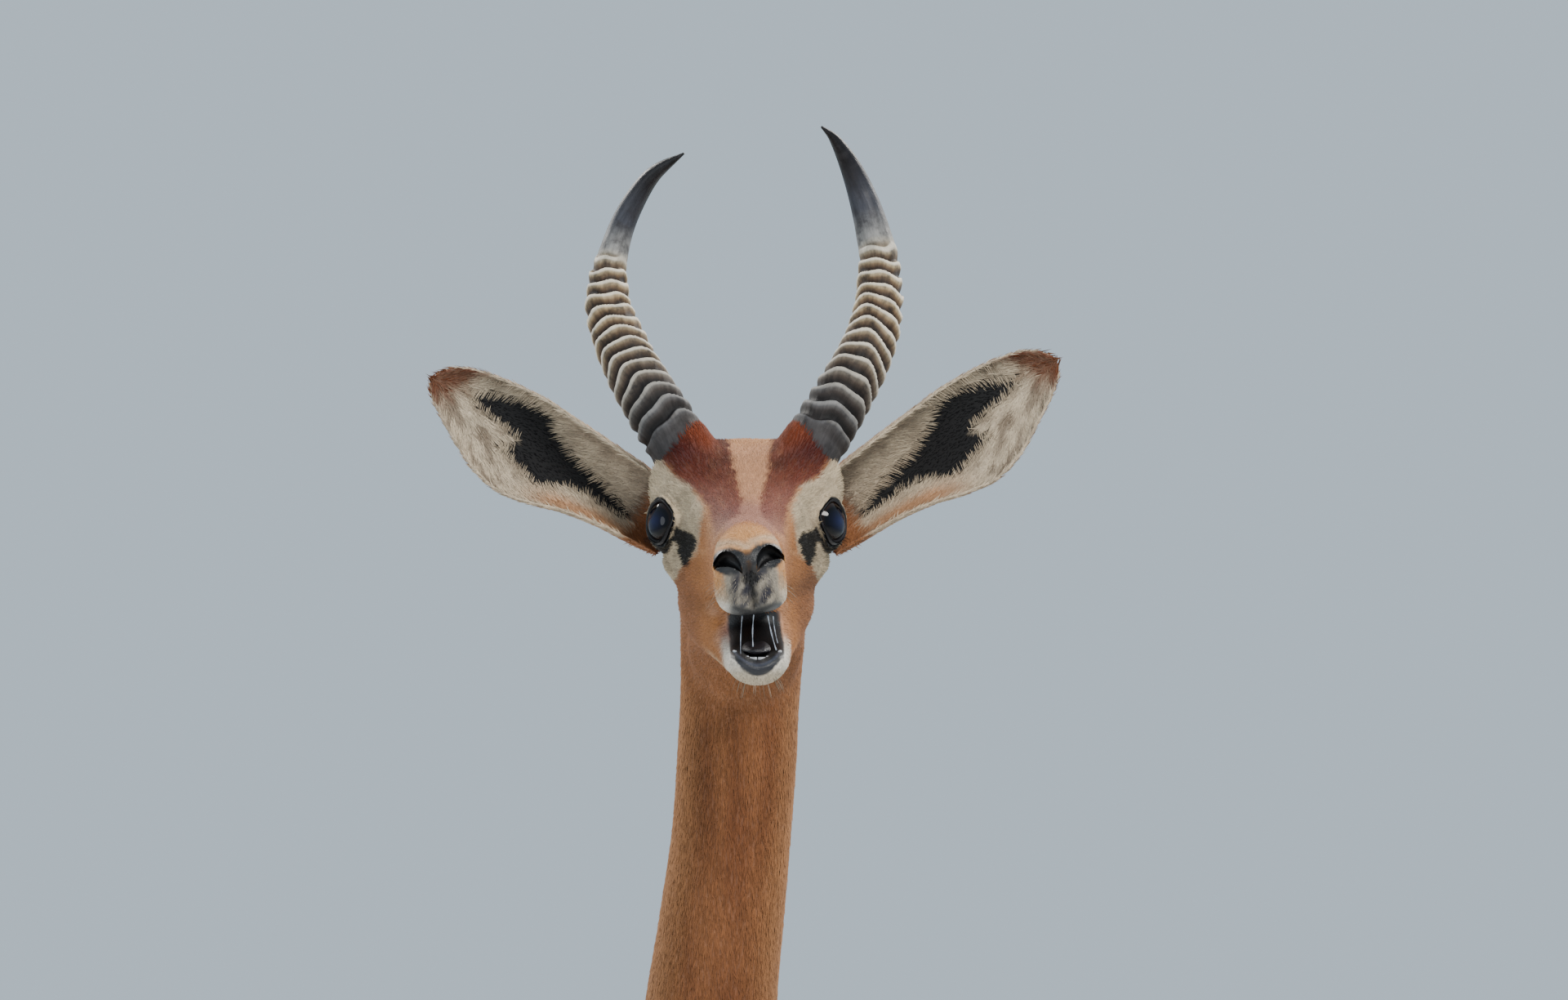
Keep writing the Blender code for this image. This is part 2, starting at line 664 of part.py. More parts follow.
def grown(thing, amount, name):
    """A copy of the object whose surface stands out by the amount."""
    made = copied(thing, name)
    out = made.modifiers.new("out", "DISPLACE")
    out.strength = amount
    out.mid_level = 0
    return settled(made)


def slab(name, middle, normal, size=0.6, thickness=GAP):
    """A thin cutter through the middle point, square to the normal."""
    mesh = bmesh.new()
    bmesh.ops.create_cube(mesh, size=1)
    turn = Vector(normal).to_track_quat("Z", "Y").to_matrix().to_4x4()
    place = Matrix.Translation(middle) @ turn @ Matrix.Diagonal((size, size, thickness, 1))
    bmesh.ops.transform(mesh, matrix=place, verts=mesh.verts)
    data = bpy.data.meshes.new(name)
    mesh.to_mesh(data)
    mesh.free()
    made = bpy.data.objects.new(name, data)
    WORKSHOP.objects.link(made)
    return made


def loose_parts(thing):
    """The closed surfaces of an object, each as its own object, the largest first."""
    mesh = bmesh.new()
    mesh.from_mesh(thing.data)
    mesh.verts.ensure_lookup_table()
    unseen = set(range(len(mesh.verts)))
    shells = []
    while unseen:
        stack = [unseen.pop()]
        shell = set(stack)
        while stack:
            for edge in mesh.verts[stack.pop()].link_edges:
                for vert in edge.verts:
                    if vert.index in unseen:
                        unseen.discard(vert.index)
                        shell.add(vert.index)
                        stack.append(vert.index)
        shells.append(shell)
    mesh.free()
    made = []
    for shell in sorted(shells, key=len, reverse=True):
        piece = copied(thing, "shell")
        keep = bmesh.new()
        keep.from_mesh(piece.data)
        extra = [v for v in keep.verts if v.index not in shell]
        bmesh.ops.delete(keep, geom=extra, context="VERTS")
        bmesh.ops.triangulate(keep, faces=keep.faces)
        keep.to_mesh(piece.data)
        keep.free()
        made.append(piece)
    removed(thing)
    return made


def largest(thing):
    shells = loose_parts(thing)
    removed(*shells[1:])
    return shells[0]


def middle_of(thing):
    corners = np.array([v.co for v in thing.data.vertices])
    return (corners.min(axis=0) + corners.max(axis=0)) / 2


def node(thing, name, finish):
    """Names a finished solid, gives it its material and shows it."""
    for owner in list(thing.users_collection):
        owner.objects.unlink(thing)
    SHOWN.objects.link(thing)
    thing.name = name
    thing.data.name = name
    thing.vertex_groups.clear()
    thing.data.materials.clear()
    thing.data.materials.append(finish)
    for face in thing.data.polygons:
        face.use_smooth = True
    thing.data.set_sharp_from_angle(angle=math.radians(50))
    return thing


def ball(name, centre, radius, segments, rings):
    mesh = bmesh.new()
    bmesh.ops.create_uvsphere(mesh, u_segments=segments, v_segments=rings, radius=radius)
    bmesh.ops.translate(mesh, vec=centre, verts=mesh.verts)
    data = bpy.data.meshes.new(name)
    mesh.to_mesh(data)
    mesh.free()
    made = bpy.data.objects.new(name, data)
    WORKSHOP.objects.link(made)
    return made


def muscle(name, centre, radii, lean, x):
    """An egg-shaped form under the skin, leaning about the X axis."""
    mesh = bmesh.new()
    bmesh.ops.create_uvsphere(mesh, u_segments=20, v_segments=12, radius=1)
    place = (
        Matrix.Translation((x + centre[0], centre[1], centre[2]))
        @ Matrix.Rotation(math.radians(lean), 4, "X")
        @ Matrix.Diagonal((*radii, 1))
    )
    bmesh.ops.transform(mesh, matrix=place, verts=mesh.verts)
    data = bpy.data.meshes.new(name)
    mesh.to_mesh(data)
    mesh.free()
    made = bpy.data.objects.new(name, data)
    WORKSHOP.objects.link(made)
    return made


def nostril_cutter(side):
    """A bent hollow for one nostril, wide above and narrowing down towards the middle."""
    rows = [
        (side * 4.2, -160.5, -27.5, 1.4, 1.8),
        (side * 6.0, -159, -23.5, 3.2, 3.6),
        (side * 9.0, -157, -20.5, 4.3, 4.6),
        (side * 12.5, -154, -19.5, 4.4, 4.8),
        (side * 16.0, -150, -20.5, 3.6, 4.4),
        (side * 20.5, -146, -23.5, 1.6, 2.8),
    ]
    table = np.asarray(rows, float)
    knots = along(table, slice(0, 3))
    lines = curve_through(knots, table, np.linspace(0, knots[-1], 9))
    turn = np.linspace(0, 2 * math.pi, 10, endpoint=False)
    rings = []
    for x, y, z, tall, deep in lines:
        rings.append(
            np.column_stack(
                [np.full(10, x), y + 1.7 * deep * np.cos(turn), z + tall * np.sin(turn)]
            )
        )
    return loft("nostril", in_world(twisted(np.array(rings))))


def pedicel(line):
    """The furred collar a horn rises from, longer on its inner side."""
    start, after = np.asarray(line[0], float), np.asarray(line[1], float)
    way = (after - start) / np.linalg.norm(after - start)
    side = np.array([1.0, 0, 0]) - way[0] * way
    side /= np.linalg.norm(side)
    front = np.cross(side, way)
    turn = np.linspace(0, 2 * math.pi, 28, endpoint=False)
    inner = -np.sign(start[0]) * np.sin(turn)
    rings = []
    for step, radius in ((-16, 13), (-9, 17.5), (-1, 19.6), (6, 19.4), (10.5, 18), (12.5, 15), (13.2, 9)):
        centre = start + way * step
        rings.append(
            centre
            + (5.0 * inner * np.clip(step / 8, 0, 1))[:, None] * way
            + radius * np.sin(turn)[:, None] * side
            + radius * 1.15 * np.cos(turn)[:, None] * front
        )
    return loft("pedicel", in_world(np.array(rings)))


def head_skin():
    """Skull, jaws, cheeks, pedicels and the top of the neck as one skin."""
    forms = [
        loft("skull", in_world(skull_points(150, 120))),
        loft("jaw", in_world(jaw_points(90, 80))),
        loft("cheek", in_world(profile_rings(CHEEK, 60, 60))),
        loft("neck_top", limb_rings(NECK[:6], 60, 64)),
        loft("throat", in_world(profile_rings(THROAT, 30, 40))),
        pedicel(HORN_LEFT),
        pedicel(HORN_RIGHT),
    ]
    whole = fused("head_skin", forms, HEAD_VOXEL, 12 * MM, 80, 2)
    whole = boolean(whole, [nostril_cutter(-1), nostril_cutter(1)], "DIFFERENCE")
    return thinned(whole, HEAD_TRIANGLES)


def body_skin():
    """Trunk, neck and legs as one skin."""
    forms = [
        loft("trunk", profile_rings(TRUNK, 110, 64) + (BODY_X, 0, 0)),
        loft("neck", limb_rings(NECK, 90, 48)),
    ]
    for side in (-1, 1):
        forms.append(loft("foreleg", limb_rings(shifted(FORELEG, BODY_X, side), 150, 32)))
        forms.append(loft("hindleg", limb_rings(shifted(HINDLEG, BODY_X, side), 150, 32)))
        forms.append(muscle("shoulder", (side * 0.062, -0.190, 0.850), (0.034, 0.062, 0.125), -24, BODY_X))
        forms.append(muscle("haunch", (side * 0.056, 0.330, 0.870), (0.044, 0.115, 0.085), 10, BODY_X))
        forms.append(muscle("hock_point", (side * 0.064, 0.434, 0.432), (0.012, 0.013, 0.022), 8, BODY_X))
    whole = fused("body_skin", forms, BODY_VOXEL, 36 * MM, 44, 2)
    return thinned(whole, BODY_TRIANGLES)


def hoof(x, y, side, length):
    """One claw of a cloven hoof, from the coronet down to its flat sole and out to its pointed toe."""
    turn = np.linspace(0, 2 * math.pi, 14, endpoint=False)
    levels = [(1.0, 0.0, 0.86), (0.7, 0.12, 0.95), (0.35, 0.24, 1.0), (0.08, 0.33, 1.02), (0.0, 0.34, 0.98)]
    rings = []
    for height, forward, width in levels:
        reach = 0.019 + forward * length * 0.55
        point = np.clip(np.cos(turn), 0, 1) ** 2
        across = 0.0078 * width * np.sin(turn) * (1 - 0.35 * point)
        ahead = -reach * np.cos(turn) - forward * length * 0.55
        lean = side * (1 - height) * 0.003 * (1 + np.cos(turn))
        rings.append(
            np.column_stack(
                [x + side * 0.0083 + across + lean, y + ahead, np.full(14, height * (CORONET_Z - GAP))]
            )
        )
    return loft("hoof", np.array(rings))


def lock(root, way, length, width, thick, bend):
    """A flat, tapered lock of hair: root point, direction, sizes and how far its tip bends over."""
    way = Vector(way).normalized()
    flat = way.cross(Vector((0.0, 0.3, 1.0)))
    flat = flat.normalized() if flat.length > 0.01 else Vector((1, 0, 0))
    out = flat.cross(way).normalized()
    rings = []
    for share, wide in ((0, 0.7), (0.25, 1.0), (0.6, 0.85), (0.85, 0.5), (1.0, 0.12)):
        centre = Vector(root) + way * (share * length) + Vector(bend) * share**2
        ring = []
        for k in range(4):
            angle = math.pi / 4 + k * math.pi / 2
            ring.append(
                centre
                + flat * (math.cos(angle) * width * wide * 0.7)
                + out * (math.sin(angle) * thick * wide * 0.7)
            )
        rings.append(ring)
    return loft("lock", np.array(rings))


def tail_solid():
    """The tail's core with the black tuft on its last third, lock by lock."""
    core = loft("tail", limb_rings(shifted(TAIL, BODY_X), 16, 10))
    table = np.asarray(shifted(TAIL, BODY_X), float)
    knots = along(table, slice(0, 3))
    locks = []
    for level, share in enumerate((0.52, 0.64, 0.76, 0.87)):
        x, y, z, half_width, _, _ = curve_through(knots, table, np.array([share * knots[-1]]))[0]
        for k in range(5):
            angle = 2 * math.pi * (k + 0.5 * (level % 2)) / 5
            away = Vector((math.cos(angle), math.sin(angle), 0))
            root = Vector((x, y, z)) + away * half_width * 0.3
            length = 0.085 + 0.012 * math.sin(3.1 * k + 1.7 * level)
            locks.append(lock(root, Vector((0, 0, -1)) + away * 0.16, length, 0.0105, 0.0048, (0, -0.004, 0)))
    return boolean(core, locks, "UNION")


def tongue_solid():
    """The tongue, lying in the trough of the lower jaw."""
    rows = [
        (-122, -71.5, -74.5, 4.0, -73, 2.0, 2.0),
        (-116, -69.0, -75.0, 8.0, -72.5, 2.0, 2.0),
        (-100, -66.0, -74.5, 9.5, -71, 2.0, 2.0),
        (-80, -62.5, -73.0, 10.0, -68, 2.0, 2.0),
        (-60, -58.0, -70.0, 10.0, -64, 2.0, 2.0),
    ]
    points = profile_rings(rows, 12, 12)
    points[..., 0] += JAW_SLIDE * 0.9
    return loft("tongue", in_world(points))


def incisors(jaw):
    """The lower front teeth in an arc behind the lip, each sunk into the jaw."""
    teeth = []
    for k in range(8):
        angle = math.radians((k - 3.5) * 17)
        root = np.array([JAW_SLIDE + 11.5 * math.sin(angle), -126 - 11.5 * math.cos(angle), -80.5])
        turn = np.linspace(0, 2 * math.pi, 6, endpoint=False)
        out = np.array([math.sin(angle), -math.cos(angle), 0])
        across = np.array([math.cos(angle), math.sin(angle), 0])
        rings = []
        for height, wide, deep in ((0, 1.3, 1.5), (6, 1.7, 1.4), (9.3, 2.0, 0.8)):
            centre = root + np.array([0, 0, height]) + out * (0.22 * height)
            rings.append(
                centre
                + wide * np.sin(turn)[:, None] * across
                + deep * np.cos(turn)[:, None] * out
            )
        teeth.append(loft("tooth", in_world(np.array(rings))))
    return boolean(jaw, teeth, "UNION")


def knee_locks(side):
    """The short brush of dark hair on the front of a carpus."""
    locks = []
    for row in range(2):
        for k in range(3):
            x = BODY_X + side * LEG_X + (k - 1) * 0.009
            root = (x, -0.197, 0.400 - 0.014 * row)
            locks.append(lock(root, (0.2 * (k - 1), -0.50, -1), 0.032, 0.0075, 0.0040, (0, 0.006, 0)))
    return locks


def cut_head():
    """Parts the head's skin into head, lower jaw and a scrap of neck that the body's own neck replaces."""
    skin = head_skin()
    neck_plane = slab("neck_cut", in_world((0, 66, -84)), NECK_CUT_NORMAL)
    jaw_plane = slab("jaw_cut", in_world((0, -50, -56)), JAW_CUT_NORMAL, size=0.3)
    boolean(skin, [neck_plane], "DIFFERENCE")
    head = largest(skin)
    boolean(head, [jaw_plane], "DIFFERENCE")
    shells = loose_parts(head)
    removed(*shells[2:])
    return shells[0], shells[1]


def cut_body():
    """Parts the body's skin with thin cuts, and names each piece by where it lies."""
    skin = body_skin()
    cuts = [
        slab("neck_cut", in_world((0, 66, -84)), NECK_CUT_NORMAL, size=0.3),
        slab("chest_cut", (BODY_X, -0.268, 0.985), (0, -0.42, 0.9), size=0.36),
        slab("elbow_cut", (BODY_X, -0.2, ELBOW_CUT_Z), (0, 0, 1), size=0.38),
        slab("stifle_cut", (BODY_X, 0.35, STIFLE_CUT_Z), (0, 0, 1), size=0.38),
        slab("carpus_cut", (BODY_X, -0.2, CARPUS_CUT_Z), (0, 0, 1), size=0.38),
        slab("hock_cut", (BODY_X, 0.4, HOCK_CUT_Z), (0, 0, 1), size=0.38),
        slab("coronet_cut", (BODY_X, 0.1, CORONET_Z - 0.006), (0, 0, 1), size=1.2, thickness=0.012),
    ]
    boolean(skin, cuts, "DIFFERENCE")
    return [piece for piece in loose_parts(skin) if len(piece.data.vertices) > 20]


def body_name(piece):
    x, y, z = middle_of(piece)
    side = "left" if x > BODY_X else "right"
    if z > 1.36:
        return "scrap"
    if z > 1.05:
        return "neck"
    if z > 0.7:
        return "torso"
    if z < CORONET_Z:
        return "scrap"
    if y < 0.1:
        return f"forearm_{side}" if z > CARPUS_CUT_Z else f"fore_cannon_{side}"
    return f"gaskin_{side}" if z > HOCK_CUT_Z else f"hind_cannon_{side}"


def add_eyes(head):
    """Both eyeballs, and their sockets cut from the head."""
    sockets = []
    for side, label in SIDES:
        centre = Vector(in_world(eye_frame(side)[0]))
        node(ball("eye", centre, EYE_RADIUS * MM, 16, 10), f"eye_{label}", EYE)
        sockets.append(ball("socket", centre, EYE_RADIUS * MM + GAP, 16, 10))
    return largest(boolean(head, sockets, "DIFFERENCE"))


def add_horns(clearance):
    for label, line, girth in (("right", HORN_RIGHT, GIRTH_RIGHT), ("left", HORN_LEFT, GIRTH_LEFT)):
        horn = loft("horn", in_world(horn_points(line, girth, horn_shares(2, 10), 12)))
        boolean(horn, [copied(clearance, "tool")], "DIFFERENCE")
        node(largest(horn), f"horn_{label}", HORN)


def add_ears(clearance):
    for side, label in SIDES:
        ear = settled(sheet_object("ear", in_world(ear_points(side, 14, 11)), EAR_THICK * MM))
        boolean(ear, [copied(clearance, "tool")], "DIFFERENCE")
        node(largest(ear), f"ear_{label}", EAR_HAIR)


def add_head():
    """The head and lower jaw with all that they carry."""
    head, jaw = cut_head()
    head = add_eyes(head)
    jaw = largest(incisors(jaw))
    clearance = grown(head, GAP, "clearance")
    add_horns(clearance)
    add_ears(clearance)
    tongue = tongue_solid()
    boolean(tongue, [clearance, grown(jaw, GAP, "clearance")], "DIFFERENCE")
    node(largest(tongue), "tongue", TONGUE)
    node(head, "head", FAWN)
    node(jaw, "lower_jaw", FAWN)


def add_body():
    """Neck, torso, legs and tail."""
    for piece in cut_body():
        name = body_name(piece)
        if name == "scrap":
            removed(piece)
            continue
        if name.startswith("forearm"):
            side = 1 if name.endswith("left") else -1
            piece = largest(boolean(piece, knee_locks(side), "UNION"))
        node(piece, name, SADDLE if name == "torso" else FAWN)
    tail = tail_solid()
    boolean(tail, [grown(bpy.data.objects["torso"], GAP, "clearance")], "DIFFERENCE")
    node(largest(tail), "tail", TUFT)


def add_hooves():
    for side, side_label in SIDES:
        for leg, y in (("fore", -0.219), ("hind", 0.361)):
            for claw, claw_label in ((-1, "inner"), (1, "outer")):
                name = f"hoof_{leg}_{side_label}_{claw_label}"
                node(hoof(BODY_X + side * LEG_X, y, side * claw, HOOF_LENGTH), name, HOOF)


SIDES = ((-1, "right"), (1, "left"))
NECK_CUT_NORMAL = (0, -0.50, 0.866)
JAW_CUT_NORMAL = (0, 0.10, 0.995)

clear_scene()
WORKSHOP = collection("workshop", shown=False)
SHOWN = collection("gerenuk")

FAWN = material("coat_fawn", (0.42, 0.19, 0.085), 0.85)
SADDLE = material("coat_saddle", (0.30, 0.125, 0.055), 0.85)
EAR_HAIR = material("ear_hair", (0.50, 0.38, 0.28), 0.9)
HORN = material("horn", (0.16, 0.145, 0.13), 0.5)
HOOF = material("hoof", (0.035, 0.03, 0.028), 0.4)
EYE = material("eye", (0.008, 0.006, 0.006), 0.08)
TONGUE = material("tongue", (0.12, 0.06, 0.065), 0.4)
TUFT = material("tuft", (0.02, 0.016, 0.014), 0.8)

add_head()
add_body()
add_hooves()
bpy.data.collections.remove(WORKSHOP)
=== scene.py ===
import math

import bmesh
import bpy
import numpy as np
from mathutils import Matrix, Vector
from mathutils.bvhtree import BVHTree
from mathutils.kdtree import KDTree


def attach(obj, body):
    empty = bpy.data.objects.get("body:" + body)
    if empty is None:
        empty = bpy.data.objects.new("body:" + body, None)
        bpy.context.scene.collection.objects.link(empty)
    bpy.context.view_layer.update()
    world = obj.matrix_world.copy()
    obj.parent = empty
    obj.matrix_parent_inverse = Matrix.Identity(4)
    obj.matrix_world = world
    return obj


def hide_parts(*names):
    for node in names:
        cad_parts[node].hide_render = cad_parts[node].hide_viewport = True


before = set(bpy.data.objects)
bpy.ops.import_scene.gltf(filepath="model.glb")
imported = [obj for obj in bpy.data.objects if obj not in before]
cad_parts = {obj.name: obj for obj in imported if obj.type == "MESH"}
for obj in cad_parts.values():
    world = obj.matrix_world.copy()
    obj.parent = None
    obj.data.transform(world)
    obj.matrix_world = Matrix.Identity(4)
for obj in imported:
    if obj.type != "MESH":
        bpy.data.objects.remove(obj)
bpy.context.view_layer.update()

MM = 0.001
SIDES = ((-1, "right"), (1, "left"))

# The same driving sizes as the solids, in metres
EYE_POINT = Vector((0.0, -0.392, 1.452))
HEAD_TURN = math.radians(0.8)
HEAD_PIVOT_Y = 60.0
BODY_X = -0.026
LEG_X = 0.064
CORONET_Z = 0.046
HOOF_LENGTH = 0.055

# The eyeball and its lids, in the head's millimetres
EYE_RADIUS = 17.0
EYE_SIDE = 38.0
EYE_BACK = 2.0
EYE_RISE = -1.5
EYE_OUT_ANGLE = math.radians(56)
LID_LONG = math.radians(44)
LID_TALL = math.radians(43)
LID_TILT = math.radians(12)
LID_THICK = 2.2

# The muzzle's roll about a line along it, and where it starts and is whole
MUZZLE_ROLL = math.radians(-8)
MUZZLE_ROOT_Y = -90
MUZZLE_LENGTH = 60
MUZZLE_AXIS_Z = -28

# Grain of the skin and how far it lies under the outline of the coat
HEAD_VOXEL = 1.0 * MM
BODY_VOXEL = 4.0 * MM
HEAD_TRIANGLES = 108_000
BODY_TRIANGLES = 78_000
FACE_COAT = 0.5 * MM
BODY_COAT = 1.8 * MM

# Rows of the head from nose to nape: y, top, bottom, half width, height of the widest line,
# and how square the section is above and below it
SKULL = [
    (-161, -22, -41, 6, -29, 2.0, 2.0),
    (-159, -17, -48.5, 12, -29, 2.0, 2.1),
    (-155, -13, -52.5, 16.4, -29, 2.1, 2.3),
    (-148, -7.5, -53.5, 19.4, -29, 2.3, 2.5),
    (-138, -3.5, -54.5, 20.6, -28, 2.3, 2.7),
    (-122, 0, -53, 20.4, -27, 2.2, 2.8),
    (-100, 4.5, -51, 21.5, -25, 2.1, 2.7),
    (-75, 9.5, -50, 24, -22, 2.1, 2.5),
    (-50, 18, -52, 30, -17, 2.2, 2.3),
    (-25, 27, -55, 39, -8, 2.3, 2.2),
    (0, 36, -57, 46.5, 2, 2.5, 2.3),
    (20, 42.5, -58, 48, 7, 2.6, 2.4),
    (40, 47, -56, 45, 8, 2.4, 2.2),
    (58, 47, -46, 38.5, 8, 2.2, 2.0),
    (74, 41, -36, 33, 4, 2.0, 2.0),
    (88, 30, -26, 27, 2, 2.0, 2.0),
    (97, 16, -14, 16, 1, 2.0, 2.0),
]
JAW = [
    (-149, -76, -82, 5, -79, 2.0, 2.0),
    (-147, -73.5, -85.5, 10, -78.5, 2.0, 2.0),
    (-142, -71.5, -89, 14.5, -78, 2.4, 2.1),
    (-133, -70, -91, 16.8, -78, 2.8, 2.1),
    (-118, -68, -91.5, 17.4, -77, 3.0, 2.1),
    (-98, -62.5, -90, 19, -75, 2.8, 2.1),
    (-82, -55.5, -88, 21, -71, 2.4, 2.1),
    (-66, -51, -85.5, 24, -67, 2.2, 2.1),
    (-45, -48, -82, 27.5, -65, 2.2, 2.1),
    (-15, -43, -79.5, 32, -61, 2.0, 2.1),
    (12, -36, -74, 34, -55, 2.0, 2.1),
    (34, -30, -62, 30, -46, 2.0, 2.0),
]
JAW_SLIDE = 4.5

# Where the skull's loft is pushed out or in: centre, reach along each axis and push. The first row is
# the brow's side, then the orbit's rear, pedicel, hollow before the eye, cheekbone, temple, nostril
# wing, front of the lip and side of the lip.
SKULL_SIDES = [
    ((46, 4, 10), (16, 24, 17), (6, 0, 0)),
    ((46, 18, 28), (16, 22, 16), (7, 0, 2)),
    ((34, 10, 40), (17, 22, 18), (8, -1, 12)),
    ((30, -38, -10), (12, 20, 12), (-3.5, 0, 0)),
    ((44, 8, -26), (14, 26, 7), (3, 0, 0)),
    ((40, 34, 20), (14, 16, 14), (-3, 0, 0)),
    ((16, -148, -24), (6, 8, 8), (1.6, -0.6, 0.6)),
    ((10, -152, -44), (7, 8, 8), (0, -2.0, -0.4)),
    ((19, -128, -46), (6, 20, 7), (1.2, 0, -0.6)),
]

# The same along the middle: forehead, roof of the mouth, parting under the nose, bridge
SKULL_MIDDLE = [
    ((0, 20, 46), (14, 30, 14), (0, 0, -2.5)),
    ((0, -108, -52), (10.5, 27, 9), (0, 0, 11)),
    ((0, -159, -40), (1.8, 9, 12), (0, 2.6, 0)),
    ((0, -128, 2), (12, 14, 8), (0, 0, 1.5)),
]
CHEEK = [
    (-84, -48, -58, 12, -53, 2.0, 2.0),
    (-79, -44, -63, 18, -54, 2.4, 2.4),
    (-62, -40, -70, 23, -55, 2.4, 2.4),
    (-35, -33, -75, 29, -54, 2.3, 2.3),
    (-4, -26, -75, 37, -49, 2.2, 2.2),
    (20, -22, -70, 39, -45, 2.2, 2.2),
    (40, -22, -62, 33, -42, 2.1, 2.1),
    (54, -28, -54, 20, -41, 2.0, 2.0),
]
THROAT = [
    (-22, -58, -74, 14, -66, 2.0, 2.0),
    (-12, -52, -81, 24, -66, 2.0, 2.0),
    (6, -44, -89, 30, -66, 2.0, 2.0),
    (24, -40, -99, 33, -68, 2.0, 2.0),
    (42, -40, -106, 33, -70, 2.0, 2.0),
    (60, -44, -104, 26, -72, 2.0, 2.0),
]
TONGUE = [
    (-122, -71.5, -74.5, 4.0, -73, 2.0, 2.0),
    (-116, -69.0, -75.0, 8.0, -72.5, 2.0, 2.0),
    (-100, -66.0, -74.5, 9.5, -71, 2.0, 2.0),
    (-80, -62.5, -73.0, 10.0, -68, 2.0, 2.0),
    (-60, -58.0, -70.0, 10.0, -64, 2.0, 2.0),
]

# A lower front tooth: height above its root, half width and half depth
TOOTH = [(0, 1.3, 1.5), (3, 1.6, 1.5), (6, 1.9, 1.3), (7.8, 2.05, 0.9), (8.6, 1.9, 0.5)]

# Wet threads in the mouth: start, end and radius
THREADS = [
    ((-4.0, -142, -52.5), (-4.8, -137, -78.0), 0.32),
    ((2.4, -143, -52.0), (2.0, -139, -70.0), 0.45),
    ((10.2, -141, -52.5), (15.0, -134, -72.0), 0.5),
    ((13.2, -139, -53.0), (15.8, -133, -68.0), 0.35),
]

# Rows of a hoof claw from coronet to sole: share of its height, how far its toe runs out, and width
CLAW = [(1.0, 0.0, 0.86), (0.7, 0.12, 0.95), (0.35, 0.24, 1.0), (0.08, 0.33, 1.02), (0.0, 0.34, 0.98)]

# Rows of the trunk from breast to rump, in metres
TRUNK = [
    (-0.352, 0.860, 0.790, 0.014, 0.825, 2.0, 2.0),
    (-0.342, 0.885, 0.755, 0.040, 0.815, 2.0, 2.0),
    (-0.318, 0.912, 0.718, 0.062, 0.805, 2.0, 2.0),
    (-0.280, 0.942, 0.688, 0.077, 0.792, 2.0, 2.0),
    (-0.230, 0.968, 0.662, 0.088, 0.780, 1.9, 2.1),
    (-0.150, 0.985, 0.648, 0.095, 0.770, 1.8, 2.1),
    (-0.060, 0.978, 0.641, 0.103, 0.770, 1.9, 2.1),
    (0.040, 0.963, 0.643, 0.111, 0.775, 2.0, 2.1),
    (0.130, 0.954, 0.656, 0.112, 0.785, 2.1, 2.1),
    (0.215, 0.960, 0.680, 0.104, 0.800, 2.1, 2.0),
    (0.290, 0.968, 0.706, 0.096, 0.820, 2.1, 2.0),
    (0.365, 0.963, 0.736, 0.090, 0.835, 2.0, 2.0),
    (0.425, 0.943, 0.766, 0.078, 0.850, 2.0, 2.0),
    (0.470, 0.910, 0.800, 0.054, 0.855, 2.0, 2.0),
    (0.494, 0.875, 0.832, 0.020, 0.852, 2.0, 2.0),
]

# Rows of the neck from skull to chest: x, y, z of its middle, half width, reach to nape and throat
NECK = [
    (0.000, -0.335, 1.452, 0.032, 0.040, 0.034),
    (-0.001, -0.331, 1.400, 0.0355, 0.043, 0.040),
    (-0.003, -0.323, 1.349, 0.0352, 0.0435, 0.042),
    (-0.007, -0.309, 1.285, 0.0350, 0.045, 0.045),
    (-0.013, -0.295, 1.230, 0.0365, 0.049, 0.049),
    (-0.019, -0.282, 1.182, 0.0385, 0.053, 0.054),
    (-0.024, -0.268, 1.120, 0.0435, 0.064, 0.064),
    (-0.026, -0.251, 1.050, 0.0530, 0.081, 0.080),
    (-0.026, -0.230, 0.970, 0.0630, 0.106, 0.106),
    (-0.026, -0.205, 0.880, 0.0600, 0.120, 0.136),
]

# Rows of the legs from the trunk to the coronet: x, y, z, half width, reach to the rear and front
FORELEG = [
    (0.046, -0.215, 0.860, 0.034, 0.060, 0.066),
    (0.054, -0.232, 0.790, 0.037, 0.062, 0.066),
    (0.061, -0.222, 0.730, 0.036, 0.056, 0.054),
    (0.064, -0.198, 0.672, 0.0315, 0.044, 0.040),
    (0.064, -0.189, 0.610, 0.0270, 0.034, 0.033),
    (0.064, -0.186, 0.530, 0.0230, 0.027, 0.027),
    (0.064, -0.186, 0.440, 0.0185, 0.0205, 0.0205),
    (0.064, -0.187, 0.385, 0.0205, 0.0215, 0.0215),
    (0.064, -0.186, 0.355, 0.0195, 0.0205, 0.0205),
    (0.064, -0.183, 0.318, 0.0140, 0.0165, 0.0145),
    (0.064, -0.183, 0.240, 0.0112, 0.0138, 0.0122),
    (0.064, -0.184, 0.155, 0.0120, 0.0150, 0.0128),
    (0.064, -0.187, 0.118, 0.0165, 0.0205, 0.0165),
    (0.064, -0.200, 0.082, 0.0140, 0.0150, 0.0150),
    (0.064, -0.216, 0.052, 0.0165, 0.0180, 0.0180),
    (0.064, -0.222, 0.040, 0.0170, 0.0185, 0.0185),
]
